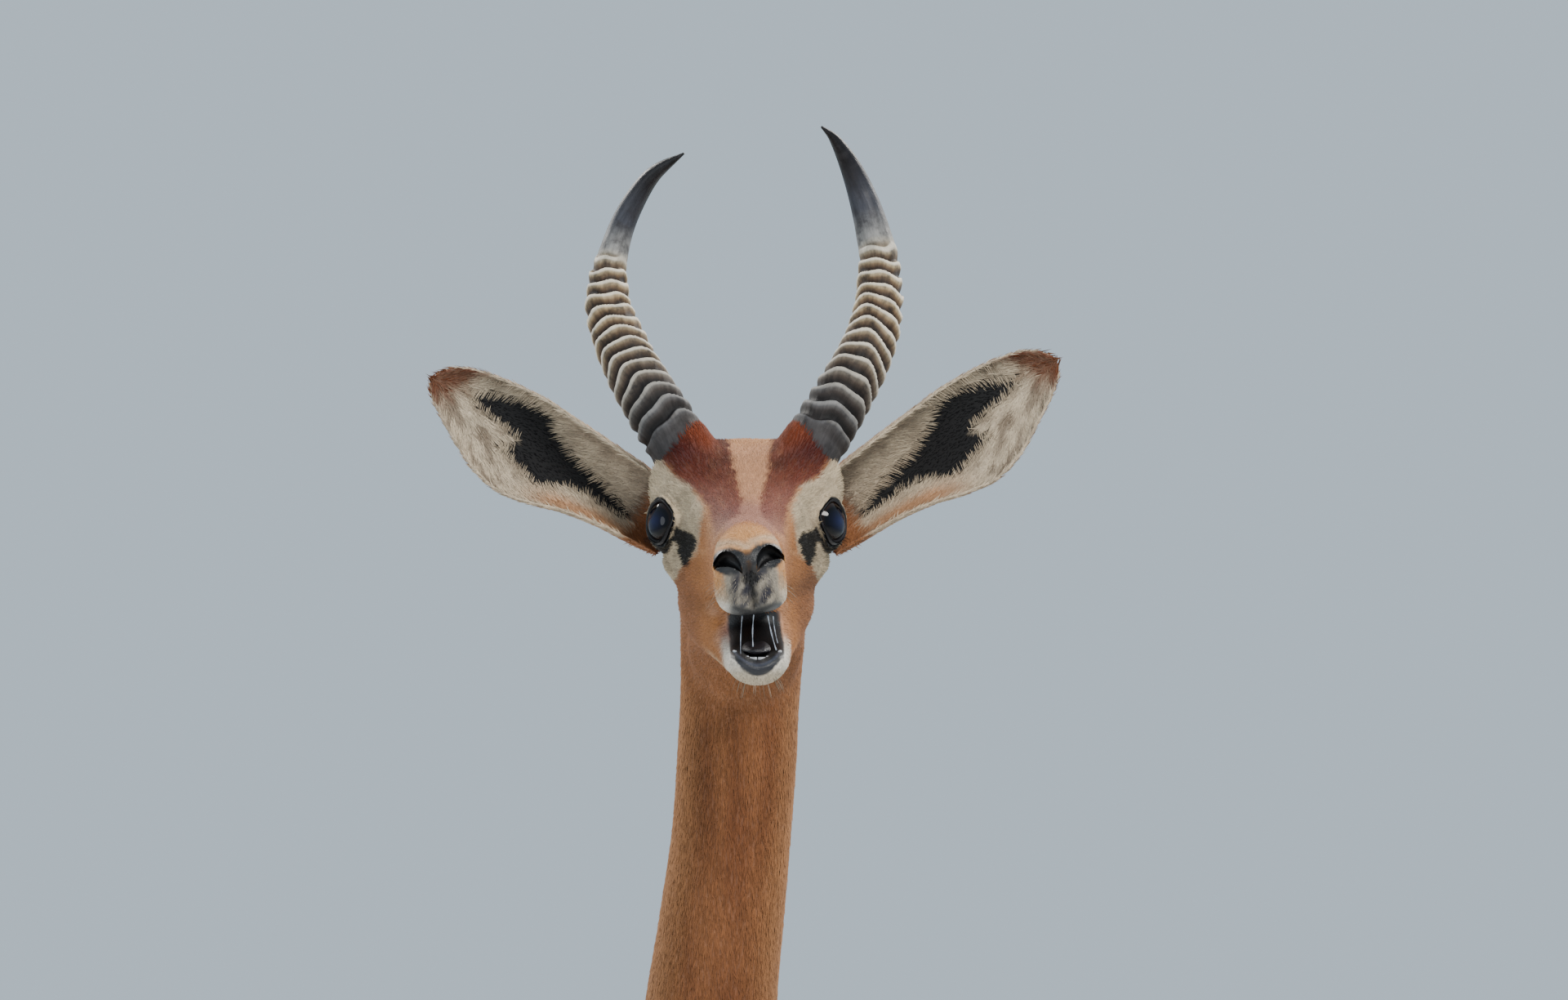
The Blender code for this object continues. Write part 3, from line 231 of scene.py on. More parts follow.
HINDLEG = [
    (0.040, 0.372, 0.905, 0.042, 0.086, 0.090),
    (0.052, 0.360, 0.840, 0.048, 0.096, 0.104),
    (0.060, 0.342, 0.765, 0.046, 0.086, 0.094),
    (0.066, 0.330, 0.700, 0.039, 0.062, 0.070),
    (0.068, 0.336, 0.640, 0.032, 0.044, 0.050),
    (0.067, 0.358, 0.570, 0.0255, 0.031, 0.034),
    (0.065, 0.386, 0.500, 0.0195, 0.0235, 0.0245),
    (0.064, 0.410, 0.448, 0.0180, 0.0225, 0.0195),
    (0.064, 0.417, 0.412, 0.0195, 0.0240, 0.0205),
    (0.064, 0.415, 0.368, 0.0165, 0.0195, 0.0175),
    (0.064, 0.410, 0.300, 0.0125, 0.0150, 0.0135),
    (0.064, 0.403, 0.200, 0.0116, 0.0142, 0.0128),
    (0.064, 0.398, 0.150, 0.0126, 0.0160, 0.0138),
    (0.064, 0.395, 0.118, 0.0165, 0.0210, 0.0165),
    (0.064, 0.380, 0.082, 0.0140, 0.0150, 0.0150),
    (0.064, 0.364, 0.052, 0.0165, 0.0180, 0.0180),
    (0.064, 0.358, 0.040, 0.0170, 0.0185, 0.0185),
]
TAIL = [
    (0.0, 0.440, 0.888, 0.022, 0.020, 0.020),
    (0.0, 0.482, 0.886, 0.019, 0.017, 0.017),
    (0.0, 0.508, 0.856, 0.0150, 0.013, 0.013),
    (0.0, 0.521, 0.810, 0.0120, 0.010, 0.010),
    (0.0, 0.524, 0.745, 0.0100, 0.0085, 0.0085),
    (0.0, 0.524, 0.690, 0.0085, 0.0075, 0.0075),
    (0.0, 0.523, 0.655, 0.0050, 0.0045, 0.0045),
]

# The middle line of each horn, in the head's millimetres, from its base to its tip
HORN_LEFT = [
    (32.5, 17, 33.0),
    (41.0, 23, 47.0),
    (54.3, 37, 69.0),
    (65.8, 55, 89.2),
    (73.6, 74, 109.0),
    (76.8, 91, 128.3),
    (76.8, 103, 145.8),
    (73.1, 110, 165.1),
    (67.2, 111, 184.9),
    (58.9, 105, 204.2),
    (50.1, 96, 218.0),
    (43.7, 90, 223.6),
]
HORN_RIGHT = [
    (-32.5, 17, 33.0),
    (-41.0, 23, 47.0),
    (-52.5, 36, 65.5),
    (-63.5, 54, 84.5),
    (-72.0, 73, 104.0),
    (-77.7, 90, 122.8),
    (-77.7, 101, 137.0),
    (-74.6, 108, 151.0),
    (-70.2, 110, 165.5),
    (-62.3, 106, 182.0),
    (-51.3, 98, 197.0),
    (-34.5, 86, 208.4),
]
HORN_SHARES = (0, 0.15, 0.3, 0.45, 0.58, 0.7, 0.82, 0.92, 1)
GIRTH_LEFT = (17.2, 16.0, 14.8, 13.6, 11.8, 9.9, 7.3, 4.2, 0.6)
GIRTH_RIGHT = (17.2, 16.0, 14.8, 13.3, 10.8, 8.0, 6.2, 4.0, 0.6)
HORN_RINGS = 15
HORN_RINGED_SHARE = 0.66
HORN_BASE_DEPTH = 1.22
RING_HEIGHT = 2.3

# An ear: its middle line, then share of the length, reach above, reach below and depth of the cup
EAR_LINE = [(42, 43, -8), (59, 41, 4), (100, 47, 35), (140, 54, 64.5), (176, 61, 90.6)]
EAR_ACROSS = Vector((-0.593, 0.0, 0.805))
EAR_SHAPE = [
    (0.0, 18, 14, 18),
    (0.10, 23, 16, 24),
    (0.22, 25, 18, 26),
    (0.36, 25, 23, 24),
    (0.50, 25, 31, 20),
    (0.60, 25.3, 34.2, 16),
    (0.70, 24, 31.5, 12.5),
    (0.80, 21.5, 24.5, 10),
    (0.90, 17, 16, 7),
    (0.96, 11.5, 10, 4),
    (1.0, 3.5, 3.0, 1),
]
EAR_THICK = 2.6
EAR_DROOP_RIGHT = math.radians(3.2)
EAR_SIZE_RIGHT = 0.97
EAR_CURL = 0.3

# Where the head's skin meets the neck's, square to the normal, and the gap on each side that is zipped up
SEAM_POINT = (0, 66, -84)
SEAM_NORMAL = Vector((0, -0.50, 0.866)).normalized()
SEAM_GAP = 0.0006

# Outlines of the face's markings as seen from in front, in the head's millimetres
BAND_LEFT = [
    (13, 52), (13, 40), (10.7, 24), (6.8, 11), (6.8, 3), (9, -8), (20, -8), (22, 7.5), (29, 19), (39, 24),
    (46, 33), (53, 42), (60, 60), (30, 75),
]
BAND_RIGHT = [
    (-9, 52), (-8.6, 37), (-6, 24), (-3.5, 11), (-4.8, 3), (-8, -8), (-18, -8), (-21.6, 7.5), (-29, 16.5),
    (-38, 24), (-47, 33), (-53, 42), (-60, 60), (-30, 75),
]
PALE_FACE = [
    (20, -15), (20, -5), (22.5, 7.5), (29.5, 19), (39.5, 24), (46.5, 33), (53, 41), (60, 37), (60, 20),
    (60, -12), (52, -30), (46, -41), (40, -34), (36, -26), (30, -20), (23, -18),
]
GLAND = [
    (27.5, -11), (30, -7.5), (35, -6), (40, -3), (43, -11), (38.5, -13), (37.8, -19), (35.5, -25),
    (33, -25.5), (30, -19),
]
UNDER_EYE = [(41, -8), (47, -13), (52, -10), (51, -17), (48.5, -21.5), (44, -18), (40.5, -12)]

# The black of an ear's cup seen from in front, for the left ear
EAR_BLACK = [
    (66.7, 4.6), (78.4, 22.6), (92.9, 37.1), (98.3, 44.3), (104.6, 55.1), (105.5, 62.3), (117.2, 70.9),
    (137.1, 79.0), (153.7, 80.2), (149.7, 74.1), (132.5, 59.6), (123.5, 49.7), (136.6, 47), (126.2, 35.3),
    (118.1, 25.8), (100.1, 24.4), (87.4, 18.1), (72.1, 6),
]


def srgb(red, green, blue):
    """A colour given as it looks on a screen, from 0 to 255, as linear light."""
    share = np.array([red, green, blue]) / 255
    return np.where(share <= 0.04045, share / 12.92, ((share + 0.055) / 1.055) ** 2.4)


FAWN = srgb(152, 100, 64)
FAWN_LIGHT = srgb(194, 140, 94)
CHESTNUT = srgb(104, 58, 36)
MAROON = srgb(112, 54, 42)
MAROON_DARK = srgb(64, 14, 10)
RUFOUS = srgb(132, 62, 34)
PINK_TAN = srgb(202, 148, 110)
BRIDGE = srgb(164, 114, 94)
MUZZLE_TAN = srgb(206, 148, 92)
ORANGE = srgb(184, 122, 72)
CREAM = srgb(198, 178, 148)
SMOKE = srgb(110, 94, 76)
INK = srgb(3, 2, 4)
SLATE = srgb(48, 46, 54)
ASH = srgb(182, 170, 150)
WHITE = srgb(232, 222, 206)
LIP = srgb(30, 30, 38)
# A painted sheen for the wet inner edge of the lower lip
LIP_SHEEN = srgb(78, 82, 96)
EAR_PALE = srgb(204, 186, 160)
EAR_SHADE = srgb(84, 66, 54)
RUST = srgb(96, 46, 20)
SADDLE = srgb(112, 60, 38)
FLANK = srgb(170, 122, 84)
BELLY = srgb(226, 216, 200)
BRUSH = srgb(58, 34, 26)


# Plain shapes

def curve_through(knots, values, wanted):
    """Reads smooth curves through the rows of values, without overshoot, at the wanted places."""
    knots = np.asarray(knots, float)
    values = np.asarray(values, float)
    step = np.diff(knots)[:, None]
    slope = np.diff(values, axis=0) / step
    before, after = slope[:-1], slope[1:]
    same_way = before * after > 0
    total = np.where(same_way, before + after, 1.0)
    inner = np.where(same_way, 2 * before * after / total, 0.0)
    tangent = np.vstack([slope[:1], inner, slope[-1:]])
    wanted = np.clip(wanted, knots[0], knots[-1])
    span = np.clip(np.searchsorted(knots, wanted, side="right") - 1, 0, len(knots) - 2)
    width = step[span]
    t = ((wanted - knots[span]) / width[:, 0])[:, None]
    return (
        (2 * t**3 - 3 * t**2 + 1) * values[span]
        + (t**3 - 2 * t**2 + t) * width * tangent[span]
        + (3 * t**2 - 2 * t**3) * values[span + 1]
        + (t**3 - t**2) * width * tangent[span + 1]
    )


def along(rows, places):
    """The running length along the first few columns of the rows."""
    steps = np.linalg.norm(np.diff(np.asarray(rows, float)[:, places], axis=0), axis=1)
    return np.concatenate([[0.0], np.cumsum(steps)])


def linked(name, mesh):
    """A new object for the bmesh, which is freed."""
    data = bpy.data.meshes.new(name)
    mesh.to_mesh(data)
    mesh.free()
    made = bpy.data.objects.new(name, data)
    bpy.context.scene.collection.objects.link(made)
    return made


def loft(name, rings):
    """A closed tube through rings of points, each ring a row of the array, with a fan over each end."""
    rings = np.asarray(rings, float)
    rows, around = rings.shape[:2]
    mesh = bmesh.new()
    grid = [[mesh.verts.new(point) for point in ring] for ring in rings]
    for row in range(rows - 1):
        for k in range(around):
            after = (k + 1) % around
            mesh.faces.new((grid[row][k], grid[row][after], grid[row + 1][after], grid[row + 1][k]))
    for ring, last in ((grid[0], False), (grid[-1], True)):
        hub = mesh.verts.new(sum((v.co for v in ring), Vector()) / around)
        for k in range(around):
            after = (k + 1) % around
            corners = (ring[k], ring[after], hub) if last else (ring[after], ring[k], hub)
            mesh.faces.new(corners)
    bmesh.ops.recalc_face_normals(mesh, faces=mesh.faces)
    return linked(name, mesh)


def oval(half_width, up, down, power_up, power_down, around):
    """Points round a section as side and rise, whose upper and lower halves may differ."""
    turn = np.linspace(0, 2 * math.pi, around, endpoint=False)
    sine, cosine = np.sin(turn), np.cos(turn)
    upper = cosine >= 0
    power = np.where(upper, power_up, power_down)
    side = half_width * np.sign(sine) * np.abs(sine) ** (2 / power)
    rise = np.where(upper, up, down) * np.sign(cosine) * np.abs(cosine) ** (2 / power)
    return side, rise


def profile_rings(table, rows, around):
    """Upright rings along Y from rows of y, top, bottom, half width, widest height and the two powers."""
    table = np.asarray(table, float)
    wanted = np.linspace(table[0, 0], table[-1, 0], rows)
    rings = []
    for y, top, bottom, half_width, widest, power_up, power_down in curve_through(
        table[:, 0], table, wanted
    ):
        side, rise = oval(half_width, top - widest, widest - bottom, power_up, power_down, around)
        rings.append(np.column_stack([side, np.full(around, y), widest + rise]))
    return np.array(rings)


def limb_rings(table, rows, around):
    """Rings square to a path, from rows of x, y, z, half width, rear reach and front reach."""
    table = np.asarray(table, float)
    knots = along(table, slice(0, 3))
    wanted = np.linspace(0, knots[-1], rows)
    lines = curve_through(knots, table, wanted)
    path = lines[:, :3]
    tangent = np.gradient(path, axis=0)
    tangent /= np.linalg.norm(tangent, axis=1)[:, None]
    across = np.array([1.0, 0.0, 0.0])
    rings = []
    for centre, way, (half_width, rear, front) in zip(path, tangent, lines[:, 3:]):
        back = np.cross(across, way)
        back /= np.linalg.norm(back)
        side, rise = oval(half_width, rear, front, 2.1, 2.1, around)
        rings.append(centre + side[:, None] * across + rise[:, None] * back)
    return np.array(rings)


def shifted(table, x, mirror=1):
    """The rows of a limb, set on the body's own middle and on one side of it."""
    return [(x + mirror * row[0], *row[1:]) for row in table]


def turned(angle):
    cosine, sine = math.cos(angle), math.sin(angle)
    return np.array([[cosine, -sine, 0], [sine, cosine, 0], [0, 0, 1]])


def in_world(points):
    """Head millimetres turned and moved to the frame in metres."""
    pivot = np.array([0, HEAD_PIVOT_Y, 0])
    points = (np.asarray(points, float) - pivot) @ turned(HEAD_TURN).T + pivot
    return points * MM + np.array(EYE_POINT)


def in_head(points):
    """Points of the frame as head millimetres."""
    pivot = np.array([0, HEAD_PIVOT_Y, 0])
    points = (np.asarray(points, float) - np.array(EYE_POINT)) / MM
    return (points - pivot) @ turned(HEAD_TURN) + pivot


def swell(points, centre, reach, push):
    """Moves the points near a centre by push, fading smoothly over the reach along each axis."""
    apart = ((points - np.asarray(centre, float)) / np.asarray(reach, float)) ** 2
    return points + np.exp(-apart.sum(-1))[..., None] * np.asarray(push, float)


# The head

def eye_frame(side):
    """The eyeball's middle and its outward, lengthwise and upward directions, in head millimetres."""
    centre = np.array([side * EYE_SIDE, EYE_BACK, EYE_RISE])
    out = np.array([side * math.sin(EYE_OUT_ANGLE), -math.cos(EYE_OUT_ANGLE), 0.06])
    out /= np.linalg.norm(out)
    level = np.array([side * math.cos(EYE_OUT_ANGLE), math.sin(EYE_OUT_ANGLE), 0.0])
    rise = np.cross(level, out) * side
    rise /= np.linalg.norm(rise)
    level = np.cross(out, rise) * side
    length = math.cos(LID_TILT) * level + math.sin(LID_TILT) * rise
    upright = math.cos(LID_TILT) * rise - math.sin(LID_TILT) * level
    return centre, out, length, upright


def eye_spread(points, side):
    """How far points lie from the middle of an eye's opening, 1 at its rim, and their turn about it."""
    centre, out, length, upright = eye_frame(side)
    arm = points - centre
    ahead = arm @ out
    across = np.arctan2(arm @ length, ahead) / LID_LONG
    rise = np.arctan2(arm @ upright, ahead) / LID_TALL
    return np.hypot(across, rise), np.arctan2(rise, across), ahead, np.linalg.norm(arm, axis=-1)


def shape_lids(points, side):
    """Draws the skin round one eye into two lids on a ball, with a hollow inside their rim."""
    centre = eye_frame(side)[0]
    arm = points - centre
    spread, _, ahead, far = eye_spread(points, side)
    lid = EYE_RADIUS + LID_THICK
    hollow = EYE_RADIUS - 5
    inside = np.clip((1.04 - spread) / 0.14, 0, 1)
    target = lid + (hollow - lid) * inside
    hold = np.clip((2.1 - spread) / 0.9, 0, 1)
    hold = hold * hold * (3 - 2 * hold) * (far < 40) * (ahead > 0)
    wanted = far + (target - far) * hold
    wanted = np.where((spread > 1.04) & (wanted < lid), lid, wanted)
    return centre + arm * (wanted / np.maximum(far, 1e-6))[..., None]


def lid_folds(points, side):
    """The creases over and under an eye, pressed into the finished skin."""
    centre = eye_frame(side)[0]
    arm = points - centre
    spread, turn, ahead, far = eye_spread(points, side)
    upper = np.clip(np.sin(turn), 0, 1)
    lower = np.clip(-np.sin(turn), 0, 1)
    rim = 0.9 * peak(spread, 1.12, 0.07)
    crease = -1.5 * peak(spread, 1.33, 0.065) * upper
    crease += 0.8 * peak(spread, 1.50, 0.10) * upper
    crease += -0.9 * peak(spread, 1.30, 0.06) * lower
    crease += -0.6 * peak(spread, 1.52, 0.06) * lower
    out = (rim + crease) * (far < 34) * (ahead > 0)
    return centre + arm * (1 + out / np.maximum(far, 1e-6))[..., None]


def skull_points(rows, around):
    """The cranium and upper jaw, pushed out of a plain loft."""
    points = profile_rings(SKULL, rows, around)
    for side in (-1, 1):
        for centre, reach, push in SKULL_SIDES:
            points = swell(points, np.array(centre) * (side, 1, 1), reach, np.array(push) * (side, 1, 1))
        points = shape_lids(points, side)
    for centre, reach, push in SKULL_MIDDLE:
        points = swell(points, centre, reach, push)
    return twisted(points)


def twisted(points, turn=MUZZLE_ROLL):
    """The muzzle as the chewing animal holds it, rolled a few degrees towards its tip."""
    points = points.copy()
    roll = turn * np.clip((MUZZLE_ROOT_Y - points[..., 1]) / MUZZLE_LENGTH, 0, 1)
    x, z = points[..., 0].copy(), points[..., 2] - MUZZLE_AXIS_Z
    points[..., 0] = x * np.cos(roll) + z * np.sin(roll)
    points[..., 2] = z * np.cos(roll) - x * np.sin(roll) + MUZZLE_AXIS_Z
    return points


def untwisted(points):
    """Head points with the muzzle's roll taken out, for its markings."""
    return twisted(points, -MUZZLE_ROLL)


def jaw_slide(y):
    """How far the lower jaw is held to one side, from nothing at its hinge to all at the chin."""
    return JAW_SLIDE * np.clip((-y - 20) / 80, 0, 1)


def jaw_points(rows, around):
    """The lower jaw, with a trough between its lips and a rounded chin."""
    points = profile_rings(JAW, rows, around)
    points = swell(points, (0, -122, -68), (10, 21, 8), (0, 0, -7.5))
    points = swell(points, (0, -138, -88), (11, 12, 6), (0, 0, -1.2))
    points[..., 0] += jaw_slide(points[..., 1])
    return points


def nostril_cutter(side):
    """A bent hollow for one nostril, wide above and narrowing down towards the middle."""
    table = np.array([
        (side * 4.2, -160.5, -27.5, 1.4, 1.8),
        (side * 6.0, -159, -23.5, 3.2, 3.6),
        (side * 9.0, -157, -20.5, 4.3, 4.6),
        (side * 12.5, -154, -19.5, 4.4, 4.8),
        (side * 16.0, -150, -20.5, 3.6, 4.4),
        (side * 20.5, -146, -23.5, 1.6, 2.8),
    ])
    knots = along(table, slice(0, 3))
    lines = curve_through(knots, table, np.linspace(0, knots[-1], 24))
    turn = np.linspace(0, 2 * math.pi, 24, endpoint=False)
    rings = []
    for x, y, z, tall, deep in lines:
        rings.append(
            np.column_stack([np.full(24, x), y + 1.7 * deep * np.cos(turn), z + tall * np.sin(turn)])
        )
    return loft("nostril", in_world(twisted(np.array(rings))))


def pedicel(line):
    """The furred collar a horn rises from, longer on its inner side."""
    start, after = np.asarray(line[0], float), np.asarray(line[1], float)
    way = (after - start) / np.linalg.norm(after - start)
    side = np.array([1.0, 0, 0]) - way[0] * way
    side /= np.linalg.norm(side)
    front = np.cross(side, way)
    turn = np.linspace(0, 2 * math.pi, 56, endpoint=False)
    inner = -np.sign(start[0]) * np.sin(turn)
    rings = []
    for step, radius in ((-16, 13), (-9, 17.5), (-1, 19.6), (6, 19.4), (10.5, 18), (12.5, 15), (13.2, 9)):
        centre = start + way * step
        rings.append(
            centre
            + (5.0 * inner * np.clip(step / 8, 0, 1))[:, None] * way
            + radius * np.sin(turn)[:, None] * side
            + radius * 1.15 * np.cos(turn)[:, None] * front
        )
    return loft("pedicel", in_world(np.array(rings)))


def ear_points(side, rows, across):
    """The open cup of an ear as a sheet, from its root in the head to its tip."""
    line = np.asarray(EAR_LINE, float)
    knots = along(line, slice(0, 3))
    share = np.linspace(0, 1, rows) ** 0.9
    path = curve_through(knots, line, share * knots[-1])
    shape = np.asarray(EAR_SHAPE, float)
    sizes = curve_through(shape[:, 0], shape[:, 1:], share)
    v = np.linspace(-1, 1, across)
    sheet = []
    for where, centre, (above, below, depth) in zip(share, path, sizes):
        bend = v * math.pi / 2 * (1 + EAR_CURL * (1 - where) ** 2)
        reach = np.where(v > 0, above, below) * np.sin(bend)
        back = depth * np.cos(bend)
        sheet.append(centre + reach[:, None] * np.array(EAR_ACROSS) + back[:, None] * (0, 1, 0))
    sheet = np.array(sheet)
    if side < 0:
        sheet = drooped(sheet, line[0], EAR_DROOP_RIGHT, EAR_SIZE_RIGHT)
    return sheet * (side, 1, 1)


def drooped(points, pivot, angle, size):
    """The ear swung down about its root."""
    arm = (points - pivot) * size
    cosine, sine = math.cos(angle), math.sin(angle)
    x = arm[..., 0] * cosine + arm[..., 2] * sine
    z = arm[..., 2] * cosine - arm[..., 0] * sine
    return np.stack([x, arm[..., 1], z], axis=-1) + pivot


def ear_sheet(side):
    """An ear as a solid sheet, ready to be fused with the head."""
    grid = in_world(ear_points(side, 70, 60))
    mesh = bmesh.new()
    verts = [[mesh.verts.new(point) for point in row] for row in grid]
    for i in range(len(verts) - 1):
        for j in range(len(verts[0]) - 1):
            mesh.faces.new((verts[i][j], verts[i][j + 1], verts[i + 1][j + 1], verts[i + 1][j]))
    made = linked("ear", mesh)
    thick = made.modifiers.new("thickness", "SOLIDIFY")
    thick.thickness = EAR_THICK * MM
    thick.offset = 0
    thick.use_even_offset = False
    return settled(made)


# Fusing the skin

def settled(thing):
    """The object with its modifiers applied."""
    graph = bpy.context.evaluated_depsgraph_get()
    mesh = bpy.data.meshes.new_from_object(thing.evaluated_get(graph))
    thing.modifiers.clear()
    thing.data = mesh
    return thing


def removed(*things):
    for thing in things:
        bpy.data.objects.remove(thing, do_unlink=True)


def joined(name, things):
    """One object that holds the meshes of the others, which are removed."""
    mesh = bmesh.new()
    for thing in things:
        mesh.from_mesh(thing.data)
    removed(*things)
    return linked(name, mesh)


def vectors(mesh, key):
    """The places or the normals of a mesh's vertices."""
    found = np.empty(len(mesh.vertices) * 3, np.float32)
    mesh.vertices.foreach_get(key, found)
    return found.reshape(-1, 3).astype(float)


def crease_weights(points, trees, reach):
    """How near each point is to a second of the fused forms, from 0 beyond the reach to 1 on the crease."""
    found = np.full((len(trees), len(points)), reach * 2)
    for row, (tree, low, high) in enumerate(trees):
        near = np.all((points > low - reach) & (points < high + reach), axis=1)
        for k in np.nonzero(near)[0]:
            hit = tree.find_nearest(points[k], reach * 2)
            if hit[3] is not None:
                found[row, k] = hit[3]
    found.sort(axis=0)
    weight = np.clip(1 - found[1] / reach, 0, 1)
    return weight * weight * (3 - 2 * weight)


def add_group(thing, name, weights):
    group = thing.vertex_groups.new(name=name)
    steps = np.round(weights * 20).astype(int)
    for step in range(1, 21):
        chosen = np.nonzero(steps == step)[0]
        if len(chosen):
            group.add(chosen.tolist(), step / 20, "REPLACE")


def smoothing(thing, name, rounds, group=""):
    even = thing.modifiers.new(name, "SMOOTH")
    even.factor = 0.5
    even.iterations = rounds
    even.vertex_group = group


def fused(name, forms, voxel, reach, rounds, polish):
    """The forms as one skin: a voxel remesh, then smoothing that is strong only where two of them meet."""
    trees = []
    for form in forms:
        mesh = form.data
        points = vectors(mesh, "co")
        faces = [tuple(p.vertices) for p in mesh.polygons]
        trees.append((BVHTree.FromPolygons(points.tolist(), faces), points.min(axis=0), points.max(axis=0)))
    whole = joined(name, forms)
    grain = whole.modifiers.new("grain", "REMESH")
    grain.mode = "VOXEL"
    grain.voxel_size = voxel
    settled(whole)
    points = vectors(whole.data, "co")
    add_group(whole, "crease", crease_weights(points, trees, reach))
    smoothing(whole, "blend", rounds, "crease")
    smoothing(whole, "even", polish)
    return settled(whole)


def thinned(thing, triangles):
    """The object with fewer triangles, kept where the form turns most."""
    count = sum(len(p.vertices) - 2 for p in thing.data.polygons)
    fewer = thing.modifiers.new("fewer", "DECIMATE")
    fewer.ratio = min(1.0, triangles / count)
    fewer.use_collapse_triangulate = True
    return settled(thing)


def cut_out(thing, tools):
    """The object less the closed tools, which are removed."""
    tool = joined("tools", tools)
    change = thing.modifiers.new("boolean", "BOOLEAN")
    change.operation = "DIFFERENCE"
    change.object = tool
    change.solver = "EXACT"
    settled(thing)
    removed(tool)
    return thing


def put_at(thing, points):
    """Moves every vertex of the object to its own point."""
    thing.data.vertices.foreach_set("co", points.astype(np.float32).ravel())
    thing.data.update()


def head_details(points):
    """Lid folds, a lower lip that dips in the middle, and the furrows behind the nostrils."""
    for side in (-1, 1):
        points = lid_folds(points, side)
        points = swell(points, (side * 21, -142, -30), (4, 5, 9), (side * -1.2, 0.6, 0))
    points = swell(points, (JAW_SLIDE, -147, -75), (8.5, 9, 6), (0, 0.5, -4.6))
    return points


def head_skin():
    """Skull, jaws, cheeks, pedicels, ears and the top of the neck as one skin."""
    forms = [
        loft("skull", in_world(skull_points(220, 180))),
        loft("jaw", in_world(jaw_points(120, 110))),
        loft("cheek", in_world(profile_rings(CHEEK, 80, 80))),
        loft("neck_top", limb_rings(NECK[:6], 90, 90)),
        loft("throat", in_world(profile_rings(THROAT, 50, 60))),
        pedicel(HORN_LEFT),
        pedicel(HORN_RIGHT),
        ear_sheet(-1),
        ear_sheet(1),
    ]
    whole = fused("head_skin", forms, HEAD_VOXEL, 12 * MM, 90, 2)
    whole = cut_out(whole, [nostril_cutter(-1), nostril_cutter(1)])
    points = in_head(vectors(whole.data, "co"))
    put_at(whole, in_world(head_details(points)))
    return thinned(whole, HEAD_TRIANGLES)


def muscle(name, centre, radii, lean, x):
    """An egg-shaped form under the skin, leaning about the X axis."""
    mesh = bmesh.new()
    bmesh.ops.create_uvsphere(mesh, u_segments=28, v_segments=18, radius=1)
    place = (
        Matrix.Translation((x + centre[0], centre[1], centre[2]))
        @ Matrix.Rotation(math.radians(lean), 4, "X")
        @ Matrix.Diagonal((*radii, 1))
    )
    bmesh.ops.transform(mesh, matrix=place, verts=mesh.verts)
    return linked(name, mesh)


def body_skin():
    """Trunk, neck, legs and tail as one skin."""
    forms = [
        loft("trunk", profile_rings(TRUNK, 140, 96) + (BODY_X, 0, 0)),
        loft("neck", limb_rings(NECK, 120, 80)),
        loft("throat", in_world(profile_rings(THROAT, 30, 40))),
        loft("tail", limb_rings(shifted(TAIL, BODY_X), 60, 24)),
    ]
    for side in (-1, 1):
        forms.append(loft("foreleg", limb_rings(shifted(FORELEG, BODY_X, side), 180, 48)))
        forms.append(loft("hindleg", limb_rings(shifted(HINDLEG, BODY_X, side), 180, 48)))
        forms.append(muscle("shoulder", (side * 0.062, -0.190, 0.850), (0.034, 0.062, 0.125), -24, BODY_X))
        forms.append(muscle("haunch", (side * 0.056, 0.330, 0.870), (0.044, 0.115, 0.085), 10, BODY_X))
        forms.append(muscle("hock_point", (side * 0.064, 0.434, 0.432), (0.012, 0.013, 0.022), 8, BODY_X))
    whole = fused("body_skin", forms, BODY_VOXEL, 36 * MM, 70, 2)
    return thinned(whole, BODY_TRIANGLES)


def seam_distance(points):
    """How far points lie above the plane that parts head and neck, in metres."""
    return (np.asarray(points) - in_world(SEAM_POINT)) @ np.array(SEAM_NORMAL)


def kept_side(thing, offset, above):
    """The mesh on one side of a plane beside the seam, open where it is cut."""
    mesh = bmesh.new()
    mesh.from_mesh(thing.data)
    removed(thing)
    bmesh.ops.bisect_plane(
        mesh,
        geom=mesh.verts[:] + mesh.edges[:] + mesh.faces[:],
        plane_co=Vector(in_world(SEAM_POINT)) + SEAM_NORMAL * offset,
        plane_no=SEAM_NORMAL,
        clear_inner=above,
        clear_outer=not above,
    )
    return mesh


def coat_depth(points):
    """How far the skin lies under the outline that the coat fills."""
    head = np.clip(seam_distance(points) / 0.05 + 0.5, 0, 1)
    low = np.clip(points[:, 2] / 0.5, 0.35, 1)
    return FACE_COAT * head + BODY_COAT * (1 - head) * low


def round_neck(vert):
    """The turn of a vertex about the middle of the seam."""
    arm = vert.co - Vector(in_world(SEAM_POINT))
    return math.atan2(arm.x, arm.dot(SEAM_NORMAL.cross(Vector((1, 0, 0)))))


def open_rim(mesh, above):
    """The vertices of the open edge on one side of the seam, in order; small openings are filled."""
    left = {edge for edge in mesh.edges if edge.is_boundary}
    left = {edge for edge in left if (seam_distance(edge.verts[0].co) > 0) == above}
    loops = []
    while left:
        edge = left.pop()
        loop, tip = [edge], edge.verts[1]
        while edge is not None:
            edge = next((near for near in tip.link_edges if near in left), None)
            if edge is not None:
                left.discard(edge)
                loop.append(edge)
                tip = edge.other_vert(tip)
        loops.append(loop)
    loops.sort(key=len)
    for small in loops[:-1]:
        bmesh.ops.holes_fill(mesh, edges=small, sides=0)
    rim, tip = [], loops[-1][0].verts[0]
    for edge in loops[-1]:
        rim.append(tip)
        tip = edge.other_vert(tip)
    turns = np.array([round_neck(vert) for vert in rim])
    steps = (np.diff(turns, append=turns[:1]) + math.pi) % (2 * math.pi) - math.pi
    if steps.sum() < 0:
        rim.reverse()
        turns = turns[::-1]
    first = int(np.argmin(turns))
    return rim[first:] + rim[:first]


